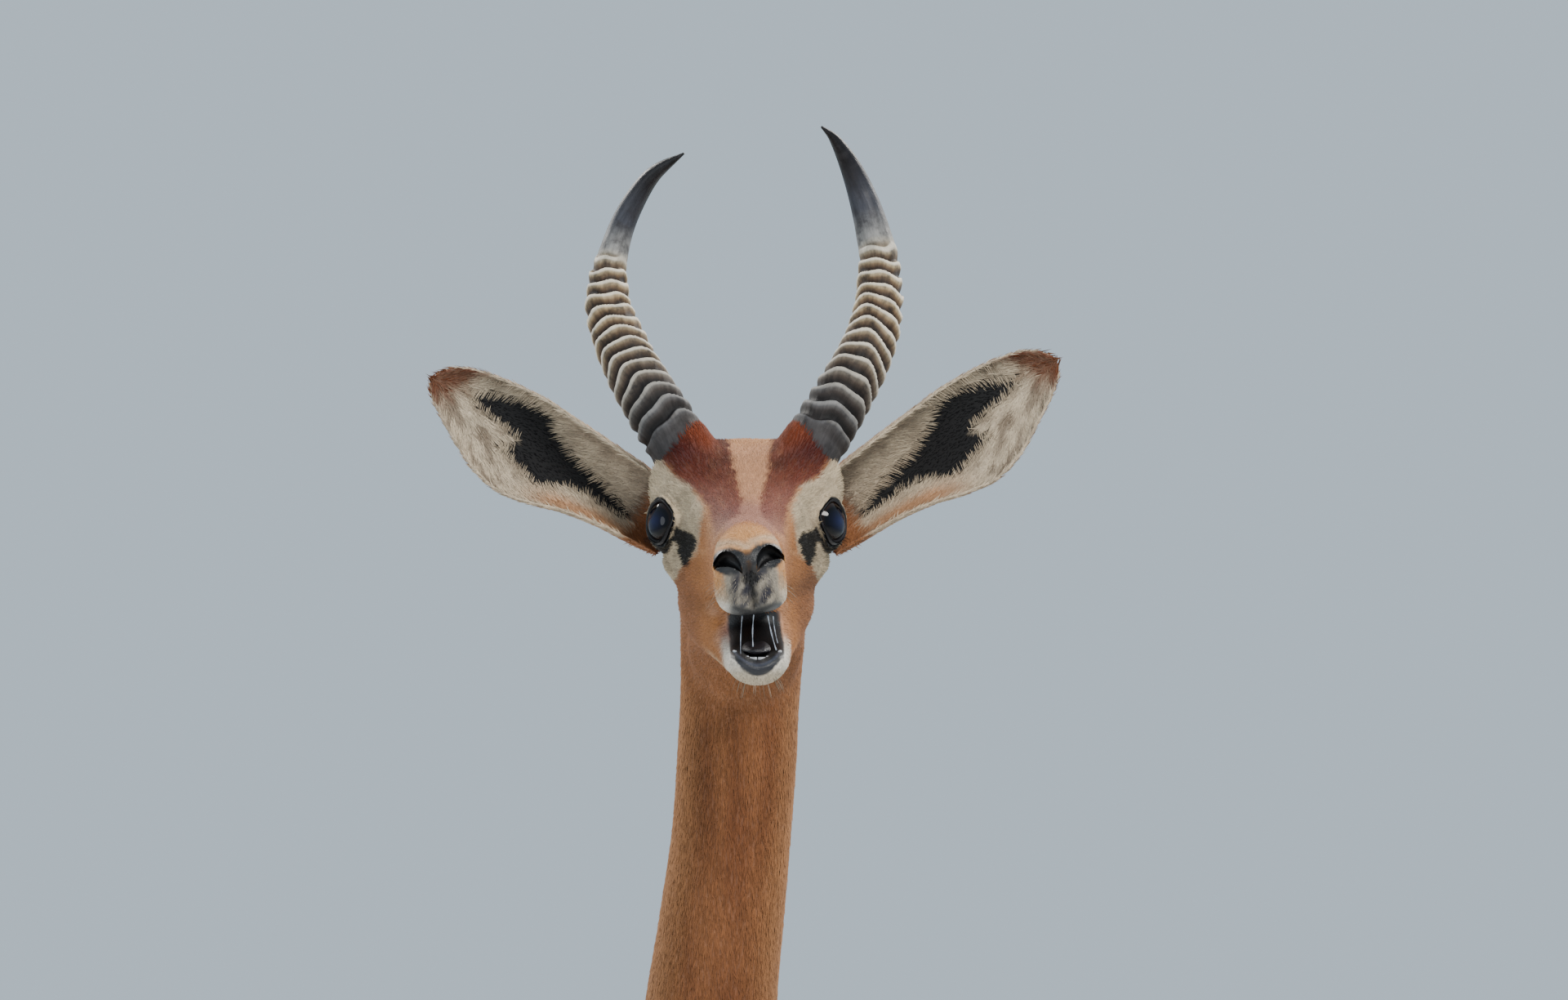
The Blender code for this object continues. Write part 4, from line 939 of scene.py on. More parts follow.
def zipped(mesh, lower, upper):
    """Triangles between two rims of unlike counts, each step taken on the rim that lags behind."""
    def turn(rim, k):
        return round_neck(rim[k]) if k < len(rim) else math.pi * 2
    i = j = 0
    while i < len(lower) or j < len(upper):
        a, b = lower[i % len(lower)], upper[j % len(upper)]
        if j >= len(upper) or (i < len(lower) and turn(lower, i + 1) <= turn(upper, j + 1)):
            i += 1
            mesh.faces.new((a, lower[i % len(lower)], b))
        else:
            j += 1
            mesh.faces.new((a, upper[j % len(upper)], b))


def whole_skin():
    """Head and body zipped into one closed skin, with the step between them smoothed away."""
    whole = kept_side(head_skin(), SEAM_GAP, True)
    scrap = bpy.data.meshes.new("scrap")
    body = kept_side(body_skin(), -SEAM_GAP, False)
    body.to_mesh(scrap)
    body.free()
    whole.from_mesh(scrap)
    zipped(whole, open_rim(whole, False), open_rim(whole, True))
    bmesh.ops.triangulate(whole, faces=whole.faces)
    bmesh.ops.recalc_face_normals(whole, faces=whole.faces)
    skin = linked("skin", whole)
    points = vectors(skin.data, "co")
    near = np.clip(1.6 - np.abs(seam_distance(points)) / 0.011, 0, 1)
    add_group(skin, "seam", near)
    smoothing(skin, "seam", 60, "seam")
    settled(skin)
    points = vectors(skin.data, "co")
    normals = vectors(skin.data, "normal")
    put_at(skin, points - normals * coat_depth(points)[:, None])
    skin.vertex_groups.clear()
    return skin


# Markings

def eased(value):
    value = np.clip(value, 0, 1)
    return value * value * (3 - 2 * value)


def mixed(base, over, share):
    return base + (over - base) * np.asarray(share)[..., None]


def filled(colour, like):
    """One row of the colour for each of the places."""
    return np.repeat(colour[None], len(like), axis=0)


def peak(value, middle, width):
    """1 at the middle, fading to nothing within about twice the width on each side of it."""
    return np.exp(-(((value - middle) / width) ** 2))


def ripple(points, size, seed):
    """A smooth, uneven field between about -1 and 1, with lumps of the given size."""
    random = np.random.default_rng(seed)
    total = np.zeros(len(points))
    for _ in range(7):
        way = random.normal(size=3)
        way /= np.linalg.norm(way) * size * random.uniform(0.6, 1.5)
        total += np.sin(points @ way * 2 * math.pi * 0.5 + random.uniform(0, 6.28))
    return total / 4


def signed(outline, x, z):
    """Distance inside an outline, and minus the distance outside it."""
    outline = np.asarray(outline, float)
    place = np.stack([x, z], axis=-1)
    nearest = np.full(len(x), np.inf)
    inside = np.zeros(len(x), bool)
    for start, end in zip(outline, np.roll(outline, -1, axis=0)):
        edge = end - start
        share = np.clip(((place - start) @ edge) / (edge @ edge), 0, 1)
        away = place - start - share[:, None] * edge
        nearest = np.minimum(nearest, np.hypot(away[:, 0], away[:, 1]))
        crosses = (start[1] > z) != (end[1] > z)
        rise = np.where(crosses, end[1] - start[1], 1.0)
        inside ^= crosses & (x < edge[0] * (z - start[1]) / rise + start[0])
    return np.where(inside, nearest, -nearest)


class EarPlaces:
    """Where points lie on the two ears: share of the length, place across, side of the sheet and its ways."""

    def __init__(self):
        self.grids = {}
        self.trees = {}
        for side in (-1, 1):
            grid = ear_points(side, 120, 81)
            tree = KDTree(grid.shape[0] * grid.shape[1])
            for index, point in enumerate(grid.reshape(-1, 3)):
                tree.insert(point, index)
            tree.balance()
            self.grids[side] = (grid, np.gradient(grid, axis=0), np.gradient(grid, axis=1))
            self.trees[side] = tree

    def find(self, head):
        """For head points: on an ear or not, share, across, inside share, way along and way across."""
        count = len(head)
        on = np.zeros(count)
        share, across, inner = np.zeros(count), np.zeros(count), np.zeros(count)
        way_out, way_up = np.zeros((count, 3)), np.zeros((count, 3))
        for side in (-1, 1):
            grid, by_row, by_column = self.grids[side]
            rows, columns = grid.shape[:2]
            likely = (side * head[:, 0] > 46) & (head[:, 1] > 20) & (head[:, 2] > -30)
            likely &= side * head[:, 0] * 0.9 + head[:, 2] < 300
            for k in np.nonzero(likely)[0]:
                point, index, apart = self.trees[side].find(head[k])
                if apart > 5.5:
                    continue
                row, column = divmod(index, columns)
                along_way, up_way = by_row[row, column], by_column[row, column]
                facing = np.cross(along_way, up_way) * side
                on[k] = side
                share[k] = (row / (rows - 1)) ** 0.9
                across[k] = column / (columns - 1) * 2 - 1
                inner[k] = np.sign(facing @ (head[k] - np.array(point)))
                way_out[k] = along_way / max(np.linalg.norm(along_way), 1e-9)
                way_up[k] = up_way / max(np.linalg.norm(up_way), 1e-9)
        return on, share, across, inner, way_out, way_up


def body_colour(points, normals):
    """Fawn neck and legs, red-brown saddle, paler flanks, white belly, rump and inner legs."""
    x, y, z = points.T
    side = x - BODY_X
    wander = ripple(points, 0.05, 5) * 0.006
    colour = filled(FAWN, points)
    stripe = ripple(points * (1, 1, 0.12), 0.012, 9)
    colour = mixed(colour, CHESTNUT, eased(0.25 + 0.45 * stripe) * 0.6)
    front = eased((-normals[:, 1] - 0.2) / 0.8)
    front = front * eased(0.35 + 0.5 * ripple(points * (1, 1, 0.1), 0.010, 14))
    colour = mixed(colour, CHESTNUT, front * 0.5)
    # Painted rim light: surfaces that face sideways are lighter fawn.
    colour = mixed(colour, FAWN_LIGHT, eased((np.abs(normals[:, 0]) - 0.55) / 0.5) * 0.45)
    trunk = eased((1.08 - z) / 0.14)
    colour = mixed(colour, FLANK, trunk * eased((z - 0.60) / 0.12))
    back_line = 0.876 + 0.018 * np.sin((y + 0.2) * 7) - 0.10 * eased((y - 0.30) / 0.2)
    back_line = back_line - 0.03 * eased((-0.16 - y) / 0.1)
    saddle = eased((z + wander - back_line) / 0.008) * trunk * eased((z - 0.8) / 0.02)
    saddle_end = eased((y + wander + 0.26) / 0.10)
    colour = mixed(colour, SADDLE, saddle * saddle_end * 0.95)
    nape = eased((normals[:, 1] - 0.5) / 0.4) * eased((z - 0.95) / 0.2)
    colour = mixed(colour, SADDLE, nape * 0.45)
    belly_line = 0.690 + 0.03 * eased((y - 0.1) / 0.2) - 0.02 * eased((-0.2 - y) / 0.1)
    under = eased((belly_line + wander - z) / 0.010) * eased((z - 0.585) / 0.03) * (np.abs(side) < 0.115)
    under *= eased((-normals[:, 2] - 0.32) / 0.2)
    colour = mixed(colour, BELLY, under * (y > -0.30) * (y < 0.40))
    inner_leg = eased((-normals[:, 0] * np.sign(side) - 0.15) / 0.4) * eased((0.72 - z) / 0.06)
    inner_leg *= eased((z - 0.25) / 0.25)
    colour = mixed(colour, BELLY, inner_leg * 0.85)
    rump = eased((y - 0.452 + wander) / 0.010) * eased((z - 0.66) / 0.05)
    rump = rump * eased((0.055 - np.abs(side)) / 0.012)
    colour = mixed(colour, BELLY, rump * (z < 0.90))
    legs = eased((0.62 - z) / 0.1)
    colour = mixed(colour, FLANK, legs * 0.35)
    fore = (y < 0.1) & (z < 0.46)
    brush = eased((-normals[:, 1] - 0.1) / 0.5) * peak(z, 0.372, 0.034) * fore
    colour = mixed(colour, BRUSH, brush * 0.85)
    pastern = peak(z, 0.055, 0.02)
    colour = mixed(colour, BRUSH, pastern * 0.4)
    tail = eased((y - 0.470) / 0.01) * eased((0.024 - np.abs(side)) / 0.004) * (z < 0.9)
    tail = np.where(y > 0.503, 1.0, tail * (y > 0.49))
    tail_colour = mixed(filled(FLANK, z), INK, eased((0.80 - z) / 0.05))
    return mixed(colour, tail_colour, np.where((y > 0.498) & (z < 0.905), 1.0, 0.0))


def face_colour(head, normals):
    """The head's coat: chestnut bands, pale eye rings, black gland, orange flanks, slate lips, white chin."""
    flat = untwisted(head)
    x, y, z = head.T
    across = np.abs(x)
    jitter = ripple(head, 5, 31) * 0.9 + ripple(head, 2, 32) * 0.5
    colour = filled(FAWN, head)
    dorsal = eased((normals[:, 2] + 0.15) / 0.5)
    colour = mixed(colour, ORANGE, eased((-20 - y) / 40) * 0.8)
    forehead = eased((26 - across) / 10) * eased((y + 120) / 20) * eased((60 - y) / 20) * dorsal
    colour = mixed(colour, PINK_TAN, forehead)
    bridge = eased((17 - across) / 6) * eased((y + 134) / 10) * eased((-52 - y) / 34) * dorsal
    colour = mixed(colour, BRIDGE, bridge)
    # Painted highlight: the top of the head near the middle is lighter fawn.
    colour = mixed(colour, FAWN_LIGHT, eased((z - 38) / 8) * eased((20 - across) / 10) * 0.7)
    front = eased((75 - y) / 20)
    pale = signed(PALE_FACE, across, z) + jitter
    ahead_of_ear = eased((32 - y + jitter * 4) / 18)
    colour = mixed(colour, CREAM, eased(pale / 2.4 + 0.5) * eased((y + 58) / 16) * ahead_of_ear)
    for side in (-1, 1):
        spread, turn, ahead, far = eye_spread(head, side)
        near = (far < 42) & (ahead > -4)
        ring = eased((1.95 - spread) / 0.25) * near
        colour = mixed(colour, CREAM, ring * (0.35 + 0.65 * eased(np.sin(turn))) * 0.9)
        # Painted shade in the fold over each eye: a grey-brown line above the upper lid.
        shade = peak(spread, 1.42, 0.10) * np.clip(np.sin(turn) + 0.2, 0, 1) * near
        colour = mixed(colour, SMOKE, shade * 0.8)
        shade = peak(spread, 1.9, 0.2) * np.clip(np.sin(turn) - 0.1, 0, 1) * near
        colour = mixed(colour, SMOKE, shade * 0.5 * eased(0.5 + ripple(head, 6, 33)))
    mottled = eased(pale / 4) * eased(0.3 + 0.6 * ripple(head, 4, 34))
    colour = mixed(colour, SMOKE, mottled * 0.3 * ahead_of_ear * (y > -50))
    seam = peak(pale, 0.6, 1.5) * (z < 18) * (across < 30) * (y > -80)
    colour = mixed(colour, FAWN_LIGHT, seam * 0.7)
    above = eased((normals[:, 2] + normals[:, 1] * -0.5 + 0.35) / 0.3)
    for outline in (BAND_LEFT, BAND_RIGHT):
        band = signed(outline, x, z) + jitter * 1.3
        on = eased(band / 4.0 + 0.5) * eased((y + 112) / 14) * front * above
        shade = mixed(filled(MAROON, x), BRIDGE, eased((6 - z) / 14) * 0.75)
        shade = mixed(shade, MAROON_DARK, eased((z - 12) / 22) * (0.75 + 0.25 * ripple(head, 7, 35)))
        colour = mixed(colour, shade, on * (0.92 - 0.12 * eased(ripple(head, 3, 36))))
    for side in (-1, 1):
        near_horn = np.hypot(np.hypot(x - side * 40, (y - 16) * 0.8), (z - 46))
        tuft = eased((29 - near_horn + jitter) / 8) * eased((z - 27) / 8)
        colour = mixed(colour, RUFOUS, tuft * 0.85 * eased((z - 34 + (26 - across) * 0.3) / 12))
        dark = np.exp(-(((x - side * 36) / 10) ** 2) - ((z - 39) / 8) ** 2) * (y < 30)
        colour = mixed(colour, MAROON_DARK, dark * 0.85)
    return lips_and_eyes(colour, head, flat, normals, jitter)


def lips_and_eyes(colour, head, flat, normals, jitter):
    """Adds the muzzle's rim, slate lip, black nostrils, painted shade in the mouth, white chin, gland and lid
    rims.
    """
    x, y, z = flat.T
    across = np.abs(x)
    nose = eased((-128 - y) / 14) * (z > -62)
    colour = mixed(colour, MUZZLE_TAN, nose * eased((30 - across) / 6) * 0.9)
    lip_side = eased((-104 - y) / 20) * eased((-30 - z) / 14) * (z > -62)
    colour = mixed(colour, EAR_PALE, lip_side * 0.8)
    facing = eased((-normals[:, 1] - 0.05) / 0.35) * (y < -128)
    slate = eased((17.5 - across + jitter) / 4) * eased((-22 - z + jitter) / 4) * (z > -60)
    tone = mixed(filled(SLATE, x), ASH, eased(0.35 + 0.6 * ripple(head, 3, 41)) * 0.7)
    tone = mixed(tone, ASH, eased((across - 9) / 7) * 0.75)
    tone = mixed(tone, INK, np.exp(-((x / 2.2) ** 2)) * 0.85)
    tone = mixed(tone, ASH, eased((-46 - z) / 5) * 0.35)
    colour = mixed(colour, tone, slate * facing)
    corner = np.exp(-(((across - 18.5) / 3.5) ** 2) - ((z + 47) / 6) ** 2) * (y < -120)
    colour = mixed(colour, WHITE, corner * 0.8)
    bridge = eased((6.5 - across) / 3) * eased((-14 - z) / 5) * (z > -34) * facing
    colour = mixed(colour, INK, bridge * 0.9)
    arch = np.hypot((across - 10.5) / 9.2, (z + 21) / 7.2)
    colour = mixed(colour, INK, eased((1.12 - arch) / 0.16) * (y < -138))
    pale_top = peak(arch, 1.45, 0.25) * (z > -16) * (y < -130)
    colour = mixed(colour, EAR_PALE, pale_top * 0.55)
    # Painted shade: the downward-facing underside of the upper lip and the roof of the open mouth are black.
    palate = eased((-normals[:, 2] - 0.35) / 0.3) * (z < -44) * (z > -62) * eased((16.5 - across) / 1.5)
    colour = mixed(colour, INK, palate * (y < -70))
    return jaw_colour(colour, head, normals)


def jaw_colour(colour, head, normals):
    """The white chin, the black lower lip, painted shade inside the mouth with a painted sheen on the lower
    lip's inner edge, and the lids' black rims.
    """
    x, y, z = head.T
    slide, aside = from_mouth(x, y)
    jaw = eased((-64 - z) / 3) * (y < -60)
    white = jaw * eased((-98 - y) / 18)
    colour = mixed(colour, WHITE, white)
    throat = eased((-60 - z) / 8) * eased(-normals[:, 2] * 1.6 - 0.2) * eased((-30 - y) / 40)
    colour = mixed(colour, CREAM, throat * 0.7)
    corner = peak(aside, 17.0, 1.8) * (z < -46) * (z > -84) * eased((-84 - y) / 16)
    colour = mixed(colour, WHITE, corner * 0.7)
    colour = mixed(colour, LIP, lower_lip(slide, y, z))
    # Painted shade: the floor and walls inside the open mouth are black.
    wall = (z < -50) & (z > -86) & (y < -40)
    dark = np.maximum(eased((normals[:, 2] - 0.2) / 0.3), eased(-normals[:, 1] + 0.3) * (y > -114))
    dark = dark * wall * eased((15.6 - aside) / 1.4)
    colour = mixed(colour, INK, dark)
    # Painted sheen: a pale bluish arc on the wet inner edge of the lower lip, strongest where it faces up.
    lip_sheen = np.exp(-(((z + 80.2 - 0.045 * slide**2) / 1.0) ** 2)) * (y < -134) * (aside < 15)
    colour = mixed(colour, LIP_SHEEN, lip_sheen * eased(normals[:, 2] * 1.5) * 0.7)
    across = np.abs(x)
    gland = signed(GLAND, across, z) + ripple(head, 2, 44) * 0.5
    colour = mixed(colour, INK, eased(gland / 1.6 + 0.5) * (y < -8) * (y > -60) * 0.97)
    under = signed(UNDER_EYE, across, z) + ripple(head, 2, 45) * 0.5
    colour = mixed(colour, INK, eased(under / 1.6 + 0.5) * (y < 4) * (y > -40) * 0.9)
    for side in (-1, 1):
        spread, turn, ahead, far = eye_spread(head, side)
        reach = 1.15 + 0.10 * np.clip(np.sin(turn), 0, 1) + 0.03 * ripple(head, 2, 46)
        colour = mixed(colour, INK, eased((reach - spread) / 0.06) * (far < 26) * (ahead > 0))
    return colour


def from_mouth(x, y):
    """The place across the lower jaw, which the chewing animal holds to one side, and its size."""
    slide = x - jaw_slide(y)
    return slide, np.abs(slide)


def lower_lip(slide, y, z):
    """The dark lower lip, a band that rises to the corners of the mouth."""
    line = -86.8 + 0.055 * slide**2
    return eased((z - line) / 1.2) * (z < -60) * (y < -100) * eased((16 - np.abs(slide)) / 1.5)


def as_left_ear(head, on):
    """Points of either ear as they would lie on the left one."""
    mirrored = head * np.where((on < 0)[:, None], (-1.0, 1.0, 1.0), 1.0)
    raised = drooped(mirrored, np.asarray(EAR_LINE[0], float), -EAR_DROOP_RIGHT, 1 / EAR_SIZE_RIGHT)
    return np.where((on < 0)[:, None], raised, mirrored)


def ear_colour(head, on, share, across, inner):
    """Black inside with cream hair round it, a rust tip, an orange lower edge and fawn backs."""
    placed = as_left_ear(head, on)
    x, _, z = placed.T
    jitter = ripple(placed, 3, 51) * 0.6 + ripple(placed, 1.5, 52) * 0.4
    black = signed(EAR_BLACK, x, z) + jitter
    streak = eased(0.2 + 0.8 * ripple(placed * (0.6, 1, 0.9), 4, 53))
    colour = mixed(filled(EAR_PALE, x), EAR_SHADE, streak * 0.35)
    upper = np.exp(-(((across - 0.58 - 0.28 * share) / 0.15) ** 2)) * eased((0.92 - share) / 0.12)
    colour = mixed(colour, EAR_SHADE, upper * (0.4 + 0.3 * ripple(placed, 9, 57)))
    dusk = eased((-across + 0.1) / 0.3) * eased((share - 0.5) / 0.1)
    dusk = dusk * eased(0.2 + 1.3 * ripple(placed * (1, 1, 0.8), 6, 54))
    colour = mixed(colour, EAR_SHADE, dusk * 0.6)
    low = eased((-across - 0.3) / 0.3) * eased((0.56 - share) / 0.2)
    colour = mixed(colour, ORANGE, low * 0.7)
    fold = peak(share, 0.13, 0.04) * (across > -0.2)
    colour = mixed(colour, EAR_SHADE, fold * 0.8)
    tip = eased((share - 0.84 + 0.05 * across + jitter * 0.02) / 0.10)
    colour = mixed(colour, RUST, tip * (0.9 + 0.1 * ripple(placed, 2, 56)))
    colour = mixed(colour, INK, eased((black + 2.5) / 1.4 + 0.5))
    back = mixed(filled(FAWN, x), FAWN_LIGHT, eased(0.5 + ripple(placed, 9, 55)) * 0.5)
    back = mixed(back, RUST, eased((share - 0.8) / 0.15) * 0.6)
    back = mixed(back, FAWN_LIGHT, eased((0.4 - share) / 0.25) * 0.4)
    edge = np.abs(across)
    # Pale rims on both faces of the ear: partly the pale hair along its edge, partly a painted rim light.
    back = mixed(back, EAR_PALE, eased((edge - 0.86) / 0.08) * 0.9)
    front = mixed(colour, EAR_PALE, eased((edge - 0.95) / 0.03) * 0.85)
    return mixed(front, back, (inner < 0).astype(float))


def coat_colour(points, normals, ears):
    """The animal's markings at any place on it."""
    head = in_head(points)
    over = eased(seam_distance(points) / 0.03 + 0.5)
    colour = body_colour(points, normals)
    face = face_colour(head, normals)
    high = seam_distance(points) > -0.03
    colour = np.where(high[:, None], mixed(colour, face, over * eased((74 - head[:, 1]) / 30)), colour)
    on, share, across, inner, _, _ = ears
    ear = ear_colour(head, on, share, across, inner)
    share_on = (on != 0) * eased((share - 0.10) / 0.05)
    return mixed(colour, ear, share_on)


def wetness(points, normals):
    """Where the skin is bare and moist: nostrils, mouth, lips, lids and glands."""
    head = in_head(points)
    flat = untwisted(head)
    across = np.abs(flat[:, 0])
    arch = np.hypot((across - 10.5) / 9.2, (flat[:, 2] + 21) / 7.2)
    wet = eased((1.1 - arch) / 0.1) * (flat[:, 1] < -140)
    x, y, z = head.T
    slide, aside = from_mouth(x, y)
    wet = np.maximum(wet, lower_lip(slide, y, z))
    wall = (z < -50) & (z > -86) & (y < -40) & (aside < 15.6)
    wet = np.maximum(wet, wall & ((normals[:, 2] > 0.2) | ((normals[:, 1] < 0.2) & (y > -114))))
    palate = (normals[:, 2] < -0.3) & (z < -44) & (z > -64) & (across < 20) & (y < -60)
    wet = np.maximum(wet, palate)
    for side in (-1, 1):
        spread, _, ahead, far = eye_spread(head, side)
        wet = np.maximum(wet, (spread < 1.14) & (far < 26) & (ahead > 0))
    return wet


def bare(points, normals):
    """Where no hair grows: moist skin, the nostrils' edges, and skin that the horns cover."""
    head = in_head(points)
    flat = untwisted(head)
    arch = np.hypot((np.abs(flat[:, 0]) - 11) / 10.5, (flat[:, 2] + 21) / 7.5)
    found = (wetness(points, normals) > 0.3) | ((arch < 1.25) & (flat[:, 1] < -136))
    for line in (HORN_LEFT, HORN_RIGHT):
        start = np.asarray(line[0], float)
        axis = unit(np.asarray(line[2], float) - start)
        arm = head - start
        rise = arm @ axis
        apart = np.linalg.norm(arm - rise[:, None] * axis, axis=-1)
        found |= (rise > 2) & (rise < 50) & (apart < 17.5)
        found |= (rise > 2) & (rise < 50) & (apart < 23) & (normals @ axis > 0.6)
    return found


# The lie of the coat

def unit(ways):
    return ways / np.maximum(np.linalg.norm(ways, axis=-1), 1e-9)[..., None]


def coat_way(points, normals, ears):
    """The direction in which the hair lies at each place, along the skin."""
    head = in_head(points)
    x, y, z = head.T
    face = np.stack([x * 0.012, np.ones(len(x)), (z + 20) * 0.010], axis=-1)
    brow = eased((z - 20) / 14) * eased((y + 14) / 20)
    up_horn = np.asarray(HORN_LEFT[1], float) - np.asarray(HORN_LEFT[0], float)
    up_horn = unit(up_horn) * np.stack([np.sign(x), np.ones(len(x)), np.ones(len(x))], -1)
    face = mixed(face, up_horn, brow * 0.85 * eased((np.abs(x) - 8) / 10))
    tip = eased((-130 - y) / 16)
    radial = np.stack([x, np.full(len(x), 3.0), z + 14], axis=-1)
    face = mixed(face, unit(radial), tip)
    chin = eased((-64 - z) / 4) * eased((-60 - y) / 20)
    face = mixed(face, np.stack([x * 0.02, np.full(len(x), 0.9), np.full(len(x), -0.5)], -1), chin)
    nape = eased((y - 60) / 30)
    face = mixed(face, np.tile([0.0, 0.25, -1.0], (len(x), 1)), nape)
    px, py, pz = points.T
    side = px - BODY_X
    neck = np.tile([0.0, 0.08, -1.0], (len(x), 1))
    trunk = np.stack([np.zeros(len(x)), np.ones(len(x)), np.full(len(x), -0.35)], -1)
    breast = np.stack([-side * 3, np.full(len(x), 0.4), np.full(len(x), -1.0)], -1)
    trunk = mixed(trunk, breast, eased((-0.27 - py) / 0.06))
    leg = np.stack([np.zeros(len(x)), np.full(len(x), 0.10), np.full(len(x), -1.0)], -1)
    body = mixed(neck, trunk, eased((1.04 - pz) / 0.14))
    body = mixed(body, leg, eased((0.735 - pz) / 0.09))
    tail = (py > 0.498) & (pz < 0.905)
    body = np.where(tail[:, None], leg, body)
    over = eased(seam_distance(points) / 0.05 + 0.5)
    ways = mixed(body, unit(face), over)
    on, share, across, inner, way_out, way_up = ears
    on_ear = (on != 0) & (share > 0.1)
    slant = np.where(inner > 0, np.clip(across, -1, 1) * -0.9, 0.15 * across)
    ear = way_out + way_up * slant[:, None]
    ways = np.where(on_ear[:, None], ear, ways)
    ways = ways - normals * np.sum(ways * normals, axis=-1)[:, None]
    short = np.linalg.norm(ways, axis=-1) < 1e-3
    ways[short] = np.cross(normals[short], [1.0, 0.2, 0.1])
    return unit(ways)


def grain_places(points):
    """Places for the hair's fine streaks, drawn out along the lie of the coat."""
    near = points - np.array([0.0, -0.33, 1.38])
    over = eased(seam_distance(points) / 0.06 + 0.5)[:, None]
    face = near * (1, 0.14, 1)
    neck = near * (1, 1, 0.10)
    base = np.array([0.0, 0.1, -0.45])
    trunk = (near - base) * (1, 0.12, 1) + base * (1, 1, 0.10)
    down = eased((1.04 - points[:, 2]) / 0.16)[:, None]
    leg = near * (1, 1, 0.10)
    low = eased((0.74 - points[:, 2]) / 0.10)[:, None]
    body = neck * (1 - down) + trunk * down
    body = body * (1 - low) + leg * low
    return face * over + body * (1 - over)


# Putting numbers on meshes

def set_colours(mesh, name, values):
    layer = mesh.attributes.new(name, "FLOAT_COLOR", "POINT")
    full = np.ones((len(values), 4), np.float32)
    full[:, :3] = np.clip(values, 0, 1)
    layer.data.foreach_set("color", full.ravel())


def set_vectors(mesh, name, values):
    layer = mesh.attributes.new(name, "FLOAT_VECTOR", "POINT")
    layer.data.foreach_set("vector", np.asarray(values, np.float32).ravel())


def set_floats(mesh, name, values):
    layer = mesh.attributes.new(name, "FLOAT", "POINT")
    layer.data.foreach_set("value", np.asarray(values, np.float32).ravel())


def finish_skin(skin):
    """Gives the skin its markings, wet places and streaks, and returns its triangles for the coat."""
    mesh = skin.data
    points = vectors(mesh, "co")
    normals = vectors(mesh, "normal")
    ears = EARS.find(in_head(points))
    set_colours(mesh, "coat", coat_colour(points, normals, ears))
    set_floats(mesh, "wet", wetness(points, normals))
    set_vectors(mesh, "grain", grain_places(points))
    for face in mesh.polygons:
        face.use_smooth = True
    mesh.calc_loop_triangles()
    corners = np.empty(len(mesh.loop_triangles) * 3, np.int32)
    mesh.loop_triangles.foreach_get("vertices", corners)
    return points, normals, corners.reshape(-1, 3)


def scattered(skin, spacing, chosen, seed):
    """Places about so far apart on the chosen triangles of the skin, with their normals."""
    points, normals, triangles = skin
    random = np.random.default_rng(seed)
    middle = points[triangles].mean(axis=1)
    picked = triangles[chosen(middle)]
    a, b, c = points[picked[:, 0]], points[picked[:, 1]], points[picked[:, 2]]
    area = np.linalg.norm(np.cross(b - a, c - a), axis=1) / 2
    wanted = int(area.sum() / spacing**2 * 2.2)
    which = random.choice(len(picked), wanted, p=area / area.sum())
    u, v = random.random(wanted), random.random(wanted)
    over = u + v > 1
    u, v = np.where(over, 1 - u, u)[:, None], np.where(over, 1 - v, v)[:, None]
    place = a[which] + u * (b - a)[which] + v * (c - a)[which]
    ids = picked[which]
    normal = unit((1 - u - v) * normals[ids[:, 0]] + u * normals[ids[:, 1]] + v * normals[ids[:, 2]])
    cell = np.floor(place / spacing).astype(np.int64)
    key = cell[:, 0] * 73856093 ^ cell[:, 1] * 19349663 ^ cell[:, 2] * 83492791
    first = np.unique(key, return_index=True)[1]
    return place[first], normal[first]


def new_mesh(name, points, triangles, normals):
    """A mesh object from arrays, lit with the given normals of its corners so that the coat looks soft."""
    mesh = bpy.data.meshes.new(name)
    mesh.vertices.add(len(points))
    mesh.vertices.foreach_set("co", points.astype(np.float32).ravel())
    mesh.loops.add(triangles.size)
    mesh.loops.foreach_set("vertex_index", triangles.astype(np.int32).ravel())
    mesh.polygons.add(len(triangles))
    mesh.polygons.foreach_set("loop_start", np.arange(0, triangles.size, 3, dtype=np.int32))
    mesh.polygons.foreach_set("use_smooth", np.ones(len(triangles), bool))
    mesh.update(calc_edges=True)
    mesh.normals_split_custom_set(unit(normals).tolist())
    made = bpy.data.objects.new(name, mesh)
    bpy.context.scene.collection.objects.link(made)
    return made


def hair_piece(name, roots, points, triangles, lit, tips, patch, looks):
    """One piece of the coat from its arrays, with the colours, streaks and map of its hairs."""
    colours, places, finish, slot = looks
    made = new_mesh(name, points, triangles, lit)
    each = len(patch)
    set_colours(made.data, "coat", np.repeat(colours, each, axis=0))
    set_floats(made.data, "tip", np.tile(tips, len(roots)))
    set_vectors(made.data, "grain", np.repeat(grain_places(roots), each, axis=0))
    spots = (places[:, None, :] * 0.99 + 0.005 + patch).reshape(-1, 2)
    layer = made.data.uv_layers.new(name="OFBake")
    layer.uv.foreach_set("vector", spots[triangles.ravel()].astype(np.float32).ravel())
    made.data.materials.append(finish)
    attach(made, "root")


